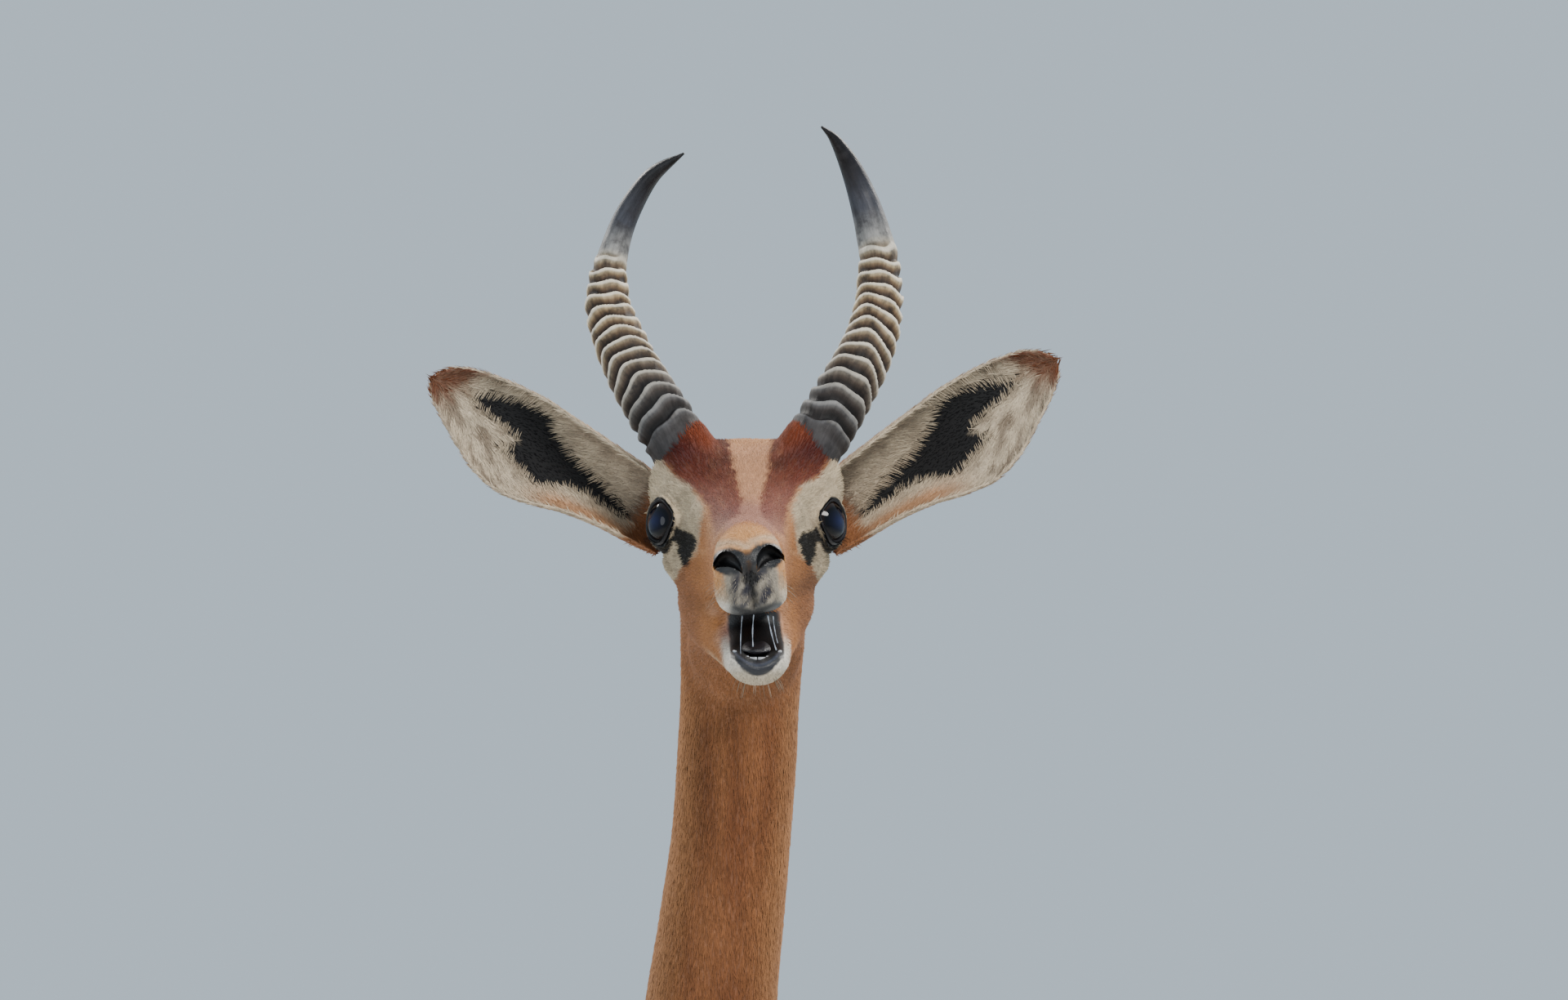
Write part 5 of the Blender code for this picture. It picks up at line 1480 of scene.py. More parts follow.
def tufts(name, roots, normals, ways, sizes, looks):
    """Solid spears of short hair with one ridge each, four triangles apiece, rooted under the skin."""
    length, width, lift = sizes
    side = np.cross(normals, ways)
    deep = (0.30 * width)[:, None] * normals
    half = (0.5 * width)[:, None] * side
    left = roots - half - deep
    right = roots + half - deep
    ridge = roots + deep * 1.1 + (0.3 * length)[:, None] * ways
    tip = roots + length[:, None] * ways + lift[:, None] * normals
    points = np.stack([left, right, ridge, tip], axis=1).reshape(-1, 3)
    top = normals + 0.35 * unit(normals - ways * (lift / length)[:, None])
    under = unit(ways * (lift / length)[:, None] - normals)
    faces = np.array([[0, 3, 2], [2, 3, 1], [0, 1, 3], [0, 2, 1]])
    leans = (top - 0.6 * side, top, top, top, top, top + 0.6 * side, under, under, under)
    rear = 0.8 * normals - 0.5 * ways
    lit = np.stack([*leans, rear, rear, rear], axis=1).reshape(-1, 3)
    triangles = (np.arange(len(roots))[:, None, None] * 4 + faces).reshape(-1, 3)
    patch = np.array([(-1.0, -0.7), (1.0, -0.7), (0.0, 0.0), (0.0, 1.0)]) * 0.0015
    hair_piece(name, roots, points, triangles, lit, [0.0, 0.0, 0.35, 1.0], patch, looks)


def locks(name, roots, normals, ways, sizes, bends, looks):
    """Longer bent locks: three rings of three corners and a tip each, rooted under the skin."""
    length, width, lift = sizes
    side = np.cross(normals, ways)
    rows, lit, shares = [], [], []
    for share, wide in ((-0.05, 0.8), (0.33, 1.0), (0.7, 0.7)):
        middle = roots + (share * length)[:, None] * ways + (lift * share**2)[:, None] * normals
        middle = middle + bends * share**2
        for angle in (-2.35, 2.35, 0.0):
            spread = math.sin(angle) * 0.5 * wide * width
            up = math.cos(angle) * 0.28 * wide * width
            rows.append(middle + spread[:, None] * side + up[:, None] * normals)
            lit.append(normals * (0.3 + math.cos(angle)) + side * math.sin(angle))
            shares.append(max(share, 0))
    rows.append(roots + length[:, None] * ways + lift[:, None] * normals + bends)
    lit.append(normals)
    shares.append(1.0)
    faces = [(0, 2, 1)]
    for ring in (0, 3):
        for k in range(3):
            a, b = ring + k, ring + (k + 1) % 3
            faces += [(a, b, a + 3), (b, b + 3, a + 3)]
    faces += [(6, 7, 9), (7, 8, 9), (8, 6, 9)]
    count = len(rows)
    points = np.stack(rows, axis=1).reshape(-1, 3)
    triangles = (np.arange(len(roots))[:, None, None] * count + np.array(faces)).reshape(-1, 3)
    corner_ways = np.stack(lit, axis=1).reshape(-1, 3)[triangles.ravel()]
    patch = np.array([(-1, -1), (1, -1), (0.3, -0.6)] * 3 + [(0, 1.6)], float)
    patch[3:6] += (0, 0.7)
    patch[6:9] = patch[6:9] * 0.7 + (0, 1.1)
    hair_piece(name, roots, points, triangles, corner_ways, shares, patch * 0.001, looks)


# Finishes

def new_finish(name, roughness):
    """A material with its node tree, links and shader."""
    finish = bpy.data.materials.new(name)
    finish.use_nodes = True
    tree = finish.node_tree
    shader = tree.nodes["Principled BSDF"]
    shader.inputs["Roughness"].default_value = roughness
    return finish, tree, shader


def attribute(tree, name, output="Fac"):
    node = tree.nodes.new("ShaderNodeAttribute")
    node.attribute_name = name
    return node.outputs[output]


def noise(tree, places, scale, detail=3.0, rough=0.55):
    node = tree.nodes.new("ShaderNodeTexNoise")
    node.inputs["Scale"].default_value = scale
    node.inputs["Detail"].default_value = detail
    node.inputs["Roughness"].default_value = rough
    tree.links.new(places, node.inputs["Vector"])
    return node.outputs["Fac"]


def ramp(tree, value, stops):
    """A colour ramp from stops of place and colour, or of place and grey."""
    node = tree.nodes.new("ShaderNodeValToRGB")
    tree.links.new(value, node.inputs["Fac"])
    elements = node.color_ramp.elements
    while len(elements) < len(stops):
        elements.new(0.5)
    for element, (place, colour) in zip(elements, stops):
        grey = np.ndim(colour) == 0
        element.position = place
        element.color = (colour, colour, colour, 1) if grey else (*colour, 1)
    return node.outputs["Color"]


def blend_colours(tree, first, second, share, mode="MIX"):
    """Mixes two colours, where the second and the share may be sockets or plain values."""
    node = tree.nodes.new("ShaderNodeMix")
    node.data_type = "RGBA"
    node.blend_type = mode
    for key, value in ((0, share), (6, first), (7, second)):
        if isinstance(value, bpy.types.NodeSocket):
            tree.links.new(value, node.inputs[key])
        elif key == 0:
            node.inputs[key].default_value = value
        else:
            node.inputs[key].default_value = (*value, 1)
    return node.outputs[2]


def numbers(tree, operation, first, second):
    """One step of arithmetic between sockets or plain numbers."""
    node = tree.nodes.new("ShaderNodeMath")
    node.operation = operation
    for key, value in ((0, first), (1, second)):
        if isinstance(value, bpy.types.NodeSocket):
            tree.links.new(value, node.inputs[key])
        else:
            node.inputs[key].default_value = value
    return node.outputs[0]


def add_bump(tree, shader, height, distance, strength):
    node = tree.nodes.new("ShaderNodeBump")
    node.inputs["Distance"].default_value = distance
    node.inputs["Strength"].default_value = strength
    tree.links.new(height, node.inputs["Height"])
    tree.links.new(node.outputs["Normal"], shader.inputs["Normal"])


def object_places(tree):
    return tree.nodes.new("ShaderNodeTexCoord").outputs["Object"]


def streaked(tree, colour, low, high):
    """The coat's colour with fine streaks along the hair and broad soft mottling."""
    grain = attribute(tree, "grain", "Vector")
    streaks = ramp(tree, noise(tree, grain, 900, 3, 0.6), [(0.3, low), (0.7, high)])
    colour = blend_colours(tree, colour, streaks, 1.0, "MULTIPLY")
    broad = ramp(tree, noise(tree, grain, 70, 2), [(0.3, 0.86), (0.7, 1.0)])
    return blend_colours(tree, colour, broad, 1.0, "MULTIPLY")


def skin_finish():
    """Skin under and between the hair: the markings, fine streaks, and moist bare places."""
    finish, tree, shader = new_finish("skin", 0.85)
    colour = streaked(tree, attribute(tree, "coat", "Color"), 0.62, 1.0)
    tree.links.new(colour, shader.inputs["Base Color"])
    wet = attribute(tree, "wet")
    rough = tree.nodes.new("ShaderNodeMapRange")
    rough.inputs["To Min"].default_value = 0.88
    rough.inputs["To Max"].default_value = 0.46
    tree.links.new(wet, rough.inputs["Value"])
    tree.links.new(rough.outputs["Result"], shader.inputs["Roughness"])
    hair = noise(tree, attribute(tree, "grain", "Vector"), 1100, 3, 0.6)
    pebbles = noise(tree, object_places(tree), 1500, 2, 0.5)
    dry = numbers(tree, "MULTIPLY", hair, numbers(tree, "SUBTRACT", 1.0, wet))
    moist = numbers(tree, "MULTIPLY", pebbles, wet)
    add_bump(tree, shader, numbers(tree, "ADD", dry, moist), 0.0006, 0.5)
    return finish


def coat_finish():
    """The hair of the tufts, with painted shade that makes each tuft darker at the root than at the tip."""
    finish, tree, shader = new_finish("coat", 0.72)
    shader.inputs["Specular IOR Level"].default_value = 0.12
    shader.inputs["Sheen Weight"].default_value = 0.03
    shader.inputs["Sheen Roughness"].default_value = 0.5
    # Painted shade towards each tuft's root.
    shade = ramp(tree, attribute(tree, "tip"), [(0.0, 0.66), (0.5, 0.95), (1.0, 1.0)])
    colour = blend_colours(tree, attribute(tree, "coat", "Color"), shade, 1.0, "MULTIPLY")
    colour = streaked(tree, colour, 0.74, 1.0)
    tree.links.new(colour, shader.inputs["Base Color"])
    return finish


def horn_finish():
    """Dull ringed horn: grey-blue below, tan in the middle, near black at the smooth tip, with painted shade
    in the grooves between its rings and a painted highlight on their tops.
    """
    finish, tree, shader = new_finish("horn", 0.5)
    share = attribute(tree, "share")
    body = ramp(tree, share, [
        (0.0, srgb(66, 68, 78)), (0.14, srgb(104, 106, 112)), (0.30, srgb(156, 146, 130)),
        (0.46, srgb(206, 190, 160)), (0.60, srgb(206, 194, 168)), (0.68, srgb(138, 138, 138)),
        (0.76, srgb(66, 68, 78)), (0.88, srgb(24, 22, 27)), (1.0, srgb(10, 9, 11)),
    ])
    grain = attribute(tree, "grain", "Vector")
    fibres = ramp(tree, noise(tree, grain, 420, 4, 0.65), [(0.25, 0.45), (0.7, 1.0)])
    body = blend_colours(tree, body, fibres, 1.0, "MULTIPLY")
    stains = noise(tree, object_places(tree), 120, 4, 0.65)
    body = blend_colours(tree, body, srgb(38, 36, 40), ramp(tree, stains, [(0.48, 0.0), (0.70, 0.8)]))
    ridge = attribute(tree, "ridge")
    # Painted shade on the rings: dark just above each ridge's step, lightening up to the next ridge's top.
    shade = [
        (0.0, srgb(40, 30, 28)), (0.16, srgb(74, 58, 50)), (0.5, srgb(150, 132, 118)),
        (0.78, srgb(218, 206, 190)), (1.0, srgb(255, 252, 246)),
    ]
    body = blend_colours(tree, body, ramp(tree, ridge, shade), 1.0, "MULTIPLY")
    # Painted highlight: a pale cream line along each ridge's top, stronger higher up the horn.
    pale_edge = numbers(tree, "MULTIPLY", ramp(tree, ridge, [(0.84, 0.0), (0.97, 1.0)]), attribute(tree, "edge"))
    body = blend_colours(tree, body, srgb(226, 216, 198), pale_edge)
    tree.links.new(body, shader.inputs["Base Color"])
    gloss = ramp(tree, share, [(0.55, 0.66), (0.85, 0.44)])
    tree.links.new(gloss, shader.inputs["Roughness"])
    shader.inputs["Specular IOR Level"].default_value = 0.25
    height = numbers(tree, "ADD", noise(tree, grain, 600, 4, 0.6), stains)
    add_bump(tree, shader, height, 0.0007, 0.45)
    return finish


def eye_finish():
    """A wet dark eye: a wide slot of a pupil with a painted blue reflection, a brown iris and a black rim."""
    finish, tree, shader = new_finish("eye", 0.3)
    shader.inputs["Specular IOR Level"].default_value = 0.0
    shader.inputs["Coat Weight"].default_value = 1.0
    shader.inputs["Coat Roughness"].default_value = 0.03
    shader.inputs["Coat IOR"].default_value = 1.3
    places = attribute(tree, "iris", "Vector")
    apart = tree.nodes.new("ShaderNodeSeparateXYZ")
    tree.links.new(places, apart.inputs[0])
    flat = tree.nodes.new("ShaderNodeCombineXYZ")
    tree.links.new(numbers(tree, "MULTIPLY", apart.outputs[0], 1.5), flat.inputs[0])
    tree.links.new(numbers(tree, "MULTIPLY", apart.outputs[1], 1.9), flat.inputs[1])
    size = tree.nodes.new("ShaderNodeVectorMath")
    size.operation = "LENGTH"
    tree.links.new(flat.outputs[0], size.inputs[0])
    rays = noise(tree, places, 14, 4, 0.7)
    iris = ramp(tree, rays, [(0.3, srgb(14, 9, 8)), (0.7, srgb(36, 22, 16))])
    # Painted reflection: the pupil is dark blue in its middle, fading to near black at its edge.
    painted_blue_reflection = [(0.0, srgb(22, 28, 60)), (0.5, srgb(11, 13, 30)), (0.8, srgb(4, 4, 8))]
    pupil = ramp(tree, size.outputs["Value"], painted_blue_reflection)
    colour = blend_colours(tree, pupil, iris, ramp(tree, size.outputs["Value"], [(0.86, 0.0), (0.98, 1.0)]))
    rim = ramp(tree, apart.outputs[2], [(0.60, 0.0), (0.72, 1.0)])
    colour = blend_colours(tree, srgb(6, 5, 6), colour, rim)
    tree.links.new(colour, shader.inputs["Base Color"])
    return finish


def speckled_finish(name, roughness, grain, dark, light, relief=None, specular=0.5):
    """A finish that wanders between two tones, with a fine relief where its depth and strength are given."""
    finish, tree, shader = new_finish(name, roughness)
    shader.inputs["Specular IOR Level"].default_value = specular
    specks = noise(tree, object_places(tree), *grain)
    tree.links.new(ramp(tree, specks, [dark, light]), shader.inputs["Base Color"])
    if relief:
        add_bump(tree, shader, specks, *relief)
    return finish


def lid_finish():
    """Black moist skin with fine pebbles."""
    tones = (0.3, srgb(7, 6, 8)), (0.75, srgb(26, 22, 26))
    return speckled_finish("bare_skin", 0.42, (1700, 3, 0.6), *tones, (0.0006, 0.5), specular=0.3)


def tongue_finish():
    tones = (0.3, srgb(12, 10, 14)), (0.75, srgb(30, 26, 34))
    return speckled_finish("tongue", 0.38, (1300, 2, 0.5), *tones, (0.0008, 0.6))


def tooth_finish():
    tones = (0.3, srgb(126, 124, 122)), (0.7, srgb(176, 180, 186))
    return speckled_finish("tooth", 0.28, (500, 3, 0.6), *tones, (0.0003, 0.3))


def thread_finish():
    tones = (0.3, srgb(120, 126, 140)), (0.75, srgb(206, 212, 222))
    return speckled_finish("moisture", 0.12, (700, 3, 0.6), *tones)


def floor_finish():
    tones = (0.3, srgb(214, 214, 210)), (0.7, srgb(226, 226, 222))
    return speckled_finish("floor", 0.8, (1.4, 3), *tones)


def hoof_finish():
    """Dull black horn with growth lines round it and a worn, paler edge below."""
    finish, tree, shader = new_finish("hoof", 0.46)
    apart = tree.nodes.new("ShaderNodeSeparateXYZ")
    places = object_places(tree)
    tree.links.new(places, apart.inputs[0])
    lines = tree.nodes.new("ShaderNodeTexNoise")
    lines.noise_dimensions = "1D"
    lines.inputs["Scale"].default_value = 420
    tree.links.new(apart.outputs[2], lines.inputs["W"])
    scratches = noise(tree, places, 300, 4, 0.6)
    colour = ramp(tree, scratches, [(0.3, srgb(12, 10, 10)), (0.75, srgb(40, 35, 31))])
    pale_edge = ramp(tree, apart.outputs[2], [(0.0, 1.0), (0.012, 0.0)])
    colour = blend_colours(tree, colour, srgb(96, 84, 72), numbers(tree, "MULTIPLY", pale_edge, 0.7))
    tree.links.new(colour, shader.inputs["Base Color"])
    add_bump(tree, shader, numbers(tree, "ADD", lines.outputs["Fac"], scratches), 0.0007, 0.5)
    return finish


# Pieces beside the skin

def dressed(piece, finish, slot, *nodes):
    """A smooth piece with its finish, riding on the one body and standing for its solids."""
    piece.data.materials.append(finish)
    for face in piece.data.polygons:
        face.use_smooth = True
    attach(piece, "root")
    if nodes:
        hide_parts(*nodes)
    return piece


def horn_rings(line, girth, seed):
    """A horn's rings, with sharp uneven ridges that fade to the smooth tip, and what its finish needs."""
    ringed = np.linspace(0, HORN_RINGED_SHARE, HORN_RINGS * 14 + 1)
    share = np.concatenate([ringed, np.linspace(HORN_RINGED_SHARE, 1, 91)[1:]])
    around = 96
    line = np.asarray(line, float)
    knots = along(line, slice(0, 3))
    path = curve_through(knots, line, share * knots[-1])
    ahead = curve_through(knots, line, (share + 0.01) * knots[-1])
    tangent = unit(ahead - curve_through(knots, line, (share - 0.01) * knots[-1]))
    radius = curve_through(HORN_SHARES, np.array(girth)[:, None], share)[:, 0]
    turn = np.linspace(0, 2 * math.pi, around, endpoint=False)
    random = np.random.default_rng(seed)
    heights = random.uniform(0.8, 1.15, HORN_RINGS + 3)
    shifts = random.uniform(-0.10, 0.10, HORN_RINGS + 3)
    rings, ridges, grains = [], [], []
    for where, centre, way, r in zip(share, path, tangent, radius):
        side = np.array([1.0, 0, 0]) - way[0] * way
        side /= np.linalg.norm(side)
        front = np.cross(side, way)
        front *= -np.sign(front[1]) or 1
        depth = 1 + (HORN_BASE_DEPTH - 1) * (1 - where)
        phase = where / HORN_RINGED_SHARE * HORN_RINGS
        wave = 0.20 * np.sin(2 * turn + seed + phase * 0.4) + 0.09 * np.sin(5 * turn + phase * 1.3)
        phase = np.maximum(phase + wave + 0.06 * np.cos(turn), 0)
        number = np.minimum(phase.astype(int), HORN_RINGS + 1)
        part = phase - number
        rise = eased(part / 0.80) ** 1.3
        ridge = rise * (1 - eased((part - 0.86) / 0.14))
        faded = np.clip(min((HORN_RINGED_SHARE + 0.01 - where) / 0.07, (where - 0.05) / 0.04), 0, 1)
        strength = RING_HEIGHT * 1.35 * (ridge - 0.5) * faded * (0.80 + 0.20 * np.cos(turn))
        bump = strength * (heights[number] + shifts[number] * np.sin(3 * turn))
        bump += 0.08 * np.sin(turn * 23 + 3 * np.sin(where * 9)) * np.clip((0.8 - where) * 3, 0, 1)
        across = (r + bump) * np.sin(turn)
        forward = (r + bump) * depth * np.cos(turn)
        rings.append(centre + across[:, None] * side + forward[:, None] * front)
        # The ridge value drives the finish's painted shade and painted highlight; on the smooth base it is
        # held at a middling shade, on the smooth tip at none.
        plain = 0.68 if where < 0.3 else 1.0
        ridges.append(plain + (ridge - plain) * faded)
        grains.append(np.stack([r * np.cos(turn), r * np.sin(turn), np.full(around, where * 36.0)], -1) * MM)
    return np.array(rings), np.array(ridges), np.array(grains), np.repeat(share, around)


def add_horns(finish):
    for label, line, girth, seed in (
        ("right", HORN_RIGHT, GIRTH_RIGHT, 3), ("left", HORN_LEFT, GIRTH_LEFT, 8)
    ):
        rings, ridges, grains, shares = horn_rings(line, girth, seed)
        piece = loft(f"horn_coat_{label}", in_world(rings))
        set_floats(piece.data, "share", np.append(shares, [0, 1]))
        set_floats(piece.data, "ridge", np.append(ridges.ravel(), [1, 1]))
        # How strongly the finish paints its highlight on the ridge tops: weak at the base, stronger higher
        # up, none on the smooth tip.
        ringed = eased((HORN_RINGED_SHARE + 0.02 - shares) / 0.06)
        ringed = ringed * (0.1 + 0.5 * eased((shares - 0.1) / 0.25))
        set_floats(piece.data, "edge", np.append(ringed, [0, 0]))
        set_vectors(piece.data, "grain", np.vstack([grains.reshape(-1, 3), np.zeros((2, 3))]))
        dressed(piece, finish, "horn", f"horn_{label}")


def add_eyes(finish, rim_finish):
    """The eyeballs with their corneas, and the moist rims of the lids."""
    for side, label in SIDES:
        centre, out, length, upright = eye_frame(side)
        angles = np.linspace(0.03, math.pi - 0.03, 60)
        turn = np.linspace(0, 2 * math.pi, 64, endpoint=False)
        bulge = 1.0 * (1 - eased((angles - 0.35) / 0.45))
        round_way = np.cos(turn)[:, None] * length + np.sin(turn)[:, None] * upright
        ways = np.cos(angles)[:, None, None] * out + np.sin(angles)[:, None, None] * round_way
        rings = centre + (EYE_RADIUS + bulge)[:, None, None] * ways
        piece = loft(f"eyeball_{label}", in_world(rings))
        flat = np.sin(angles)[:, None] * np.cos(turn), np.sin(angles)[:, None] * np.sin(turn)
        iris = np.stack([*flat, np.repeat(np.cos(angles)[:, None], 64, axis=1)], -1).reshape(-1, 3)
        set_vectors(piece.data, "iris", np.vstack([iris, [[0, 0, 1], [0, 0, -1]]]))
        dressed(piece, finish, "eye", f"eye_{label}")
        dressed(lid_rim(side, f"lid_rim_{label}"), rim_finish, "coat")


def lid_path(side, turns, reach):
    """Places on an eye's lid rim and their outward ways, in head millimetres."""
    centre, out, length, upright = eye_frame(side)
    across = np.tan(LID_LONG * reach * np.cos(turns))[..., None]
    rise = np.tan(LID_TALL * reach * np.sin(turns))[..., None]
    ways = unit(out + across * length + rise * upright)
    return centre, ways


def lid_edge(turns):
    """How far out the lids' free edge lies, lowest over the eye where the thick upper lid hangs."""
    upper = np.clip(np.sin(turns), 0, 1)
    corner = np.exp(-(((np.cos(turns) + 1) / 0.10) ** 2))
    return 0.95 - 0.11 * upper**0.8 + 0.04 * corner


def lid_rim(side, name):
    """A closed band of black skin that laps the eyeball, thick over the eye and thin below it."""
    turns = np.linspace(0, 2 * math.pi, 120, endpoint=False)
    around = np.linspace(0, 2 * math.pi, 20, endpoint=False)
    inner, outer = lid_edge(turns), 1.07
    reach = (inner + outer)[:, None] / 2 + (outer - inner)[:, None] / 2 * np.cos(around)
    crease = 0.35 * np.sin(turns * 2 + 4 * np.cos(around)[:, None]).T
    height = EYE_RADIUS + 0.75 + (1.25 + 0.35 * np.sin(turns))[:, None] * np.sin(around) + 0.25 * crease
    centre, ways = lid_path(side, np.repeat(turns[:, None], 20, axis=1), reach)
    points = in_world(centre + ways * height[..., None])
    mesh = bmesh.new()
    grid = [[mesh.verts.new(point) for point in ring] for ring in points]
    for row in range(len(grid)):
        after = (row + 1) % len(grid)
        for k in range(len(around)):
            beside = (k + 1) % len(around)
            mesh.faces.new((grid[row][k], grid[row][beside], grid[after][beside], grid[after][k]))
    bmesh.ops.recalc_face_normals(mesh, faces=mesh.faces)
    return linked(name, mesh)


def add_strands(finish):
    """Fine wet threads that hang from the upper lip into the open mouth."""
    threads = []
    for start, end, thick in THREADS:
        share = np.linspace(0, 1, 24)[:, None]
        path = np.array(start) * (1 - share) + np.array(end) * share
        path = path + np.sin(share * math.pi) * np.array([-0.4, 0.8, 0])
        turn = np.linspace(0, 2 * math.pi, 10, endpoint=False)
        radius = thick * (0.6 + 0.25 * np.cos(share * math.pi * 4))
        ring = np.stack([np.cos(turn), np.sin(turn), 0 * turn], -1)
        threads.append(loft("thread", in_world(path[:, None, :] + radius[:, None] * ring)))
    dressed(joined("mouth_threads", threads), finish, "tongue")


def add_mouth(tooth, tongue):
    """The lower front teeth, in an arc that rises to its ends, and the tongue."""
    teeth = []
    for k in range(8):
        angle = math.radians((k - 3.5) * 19)
        rise = -84.4 + 6.4 * (1 - math.cos(angle))
        root = np.array([JAW_SLIDE + 12.0 * math.sin(angle), -126 - 11.5 * math.cos(angle), rise])
        turn = np.linspace(0, 2 * math.pi, 16, endpoint=False)
        out = np.array([math.sin(angle), -math.cos(angle), 0])
        across = np.array([math.cos(angle), math.sin(angle), 0])
        rings = []
        for height, wide, deep in TOOTH:
            centre = root + np.array([0, 0, height]) + out * (0.22 * height)
            rings.append(centre + wide * np.sin(turn)[:, None] * across + deep * np.cos(turn)[:, None] * out)
        teeth.append(loft("tooth", in_world(np.array(rings))))
    dressed(joined("incisors", teeth), tooth, "tongue")
    points = profile_rings(TONGUE, 50, 40)
    points = swell(points, (0, -95, -66), (2.5, 24, 5), (0, 0, -1.4))
    points[..., 0] += JAW_SLIDE * 0.9
    dressed(loft("tongue_flesh", in_world(points)), tongue, "tongue", "tongue")


def hoof_claw(x, y, side, length, name):
    """One claw of a cloven hoof, from the coronet down to its flat sole and out to its pointed toe."""
    around = 48
    turn = np.linspace(0, 2 * math.pi, around, endpoint=False)
    levels = np.array(CLAW)
    wanted = -np.concatenate([np.linspace(1, 0.08, 22), [0.05, 0.02, 0.0]])
    rings = []
    for height, forward, width in curve_through(-levels[:, 0], levels, wanted):
        reach = 0.019 + forward * length * 0.55
        point = np.clip(np.cos(turn), 0, 1) ** 2
        line = 0.00022 * math.sin(height * 46)
        across = (0.0078 * width + line) * np.sin(turn) * (1 - 0.35 * point)
        ahead = -(reach + line) * np.cos(turn) - forward * length * 0.55
        lean = side * (1 - height) * 0.003 * (1 + np.cos(turn))
        rise = np.full(around, height * (CORONET_Z + 0.002))
        rings.append(np.column_stack([x + side * 0.0083 + across + lean, y + ahead, rise]))
    return loft(name, np.array(rings))


def add_hooves(finish):
    for side, side_label in SIDES:
        for leg, y in (("fore", -0.219), ("hind", 0.361)):
            for claw, claw_label in ((-1, "inner"), (1, "outer")):
                place = f"{leg}_{side_label}_{claw_label}"
                piece = hoof_claw(BODY_X + side * LEG_X, y, side * claw, HOOF_LENGTH, f"claw_{place}")
                dressed(piece, finish, "hoof", f"hoof_{place}")


# The coat

def varied(count, seed, low=0.75, high=1.25):
    return np.random.default_rng(seed).uniform(low, high, count)


def angle_share(first, second):
    return np.arctan2(first, second) / (2 * math.pi) + 0.5


def face_places(points, ears):
    x, y, z = in_head(points).T
    return np.stack([angle_share(x, z + 12), np.clip((y + 165 + 0.5 * np.hypot(x, z + 30)) / 330, 0, 1)], -1)


def ear_spots(points, ears):
    on, share, across, inner, _, _ = ears
    return np.stack([share * 0.48 + 0.5 * (inner < 0), (across + 1) * 0.24 + 0.5 * (on > 0)], -1)


def neck_places(points, ears):
    x, y, z = points.T
    return np.stack([angle_share(x - BODY_X * 0.5, y + 0.29), np.clip((z - 0.9) / 0.5, 0, 1)], -1)


def trunk_places(points, ears):
    x, y, z = points.T
    return np.stack([angle_share(x - BODY_X, z - 0.81), np.clip((y + 0.37) / 0.95, 0, 1)], -1)


def leg_places(points, ears):
    x, y, z = points.T
    right = (x < BODY_X).astype(int)
    hind = (y > 0.08).astype(int)
    turn = angle_share(x - BODY_X - LEG_X * (1 - 2 * right), y - np.where(hind, 0.37, -0.19))
    return np.stack([turn * 0.24 + 0.25 * (right + 2 * hind), np.clip(z / 0.75, 0, 1)], -1)


def on_ears(points):
    ears = EARS.find(in_head(points))
    return (ears[0] != 0) & (ears[1] > 0.12)


# Where one piece of the coat ends and the next begins: millimetres for the face, metres elsewhere
FACE_REAR_Y = -20
HEAD_FOOT = -0.004
NECK_FOOT_Z = 1.12
BREAST_REAR_Y = -0.10
LEG_TOP_Z = 0.64
LEG_FOOT_Z = 0.045
TAIL_ROOT_Y = 0.500
TAIL_TOP_Z = 0.90


def head_zone(points):
    return seam_distance(points) > HEAD_FOOT


def face_zone(points):
    return head_zone(points) & (in_head(points)[:, 1] < FACE_REAR_Y)


def crown_zone(points):
    return head_zone(points) & (in_head(points)[:, 1] >= FACE_REAR_Y) & ~on_ears(points)


def neck_zone(points):
    return ~head_zone(points) & (points[:, 2] > NECK_FOOT_Z)


def breast_zone(points):
    return (points[:, 2] <= NECK_FOOT_Z) & (points[:, 1] < BREAST_REAR_Y) & (points[:, 2] > LEG_TOP_Z)


def flank_zone(points):
    return (points[:, 1] >= BREAST_REAR_Y) & (points[:, 2] > LEG_TOP_Z) & ~tail_zone(points)


def leg_zone(points):
    return (points[:, 2] <= LEG_TOP_Z) & (points[:, 2] > LEG_FOOT_Z)


def tail_zone(points):
    return (points[:, 1] > TAIL_ROOT_Y) & (points[:, 2] < TAIL_TOP_Z)


# The short coat's pieces: spacing, length and width of a tuft in millimetres, its lift as a share of
# its length, where it grows and its map
REGIONS = [
    ("coat_face", 1.2, 4.4, 0.95, 0.13, face_zone, face_places),
    ("coat_crown", 1.4, 4.8, 1.1, 0.13, crown_zone, face_places),
    ("coat_ears", 1.55, 5.0, 1.15, 0.16, on_ears, ear_spots),
    ("coat_neck", 1.55, 7.5, 1.3, 0.10, neck_zone, neck_places),
    ("coat_breast", 2.9, 12, 2.3, 0.10, breast_zone, trunk_places),
    ("coat_flanks", 3.3, 14, 2.6, 0.09, flank_zone, trunk_places),
    ("coat_legs", 2.8, 8, 2.0, 0.12, leg_zone, leg_places),
]


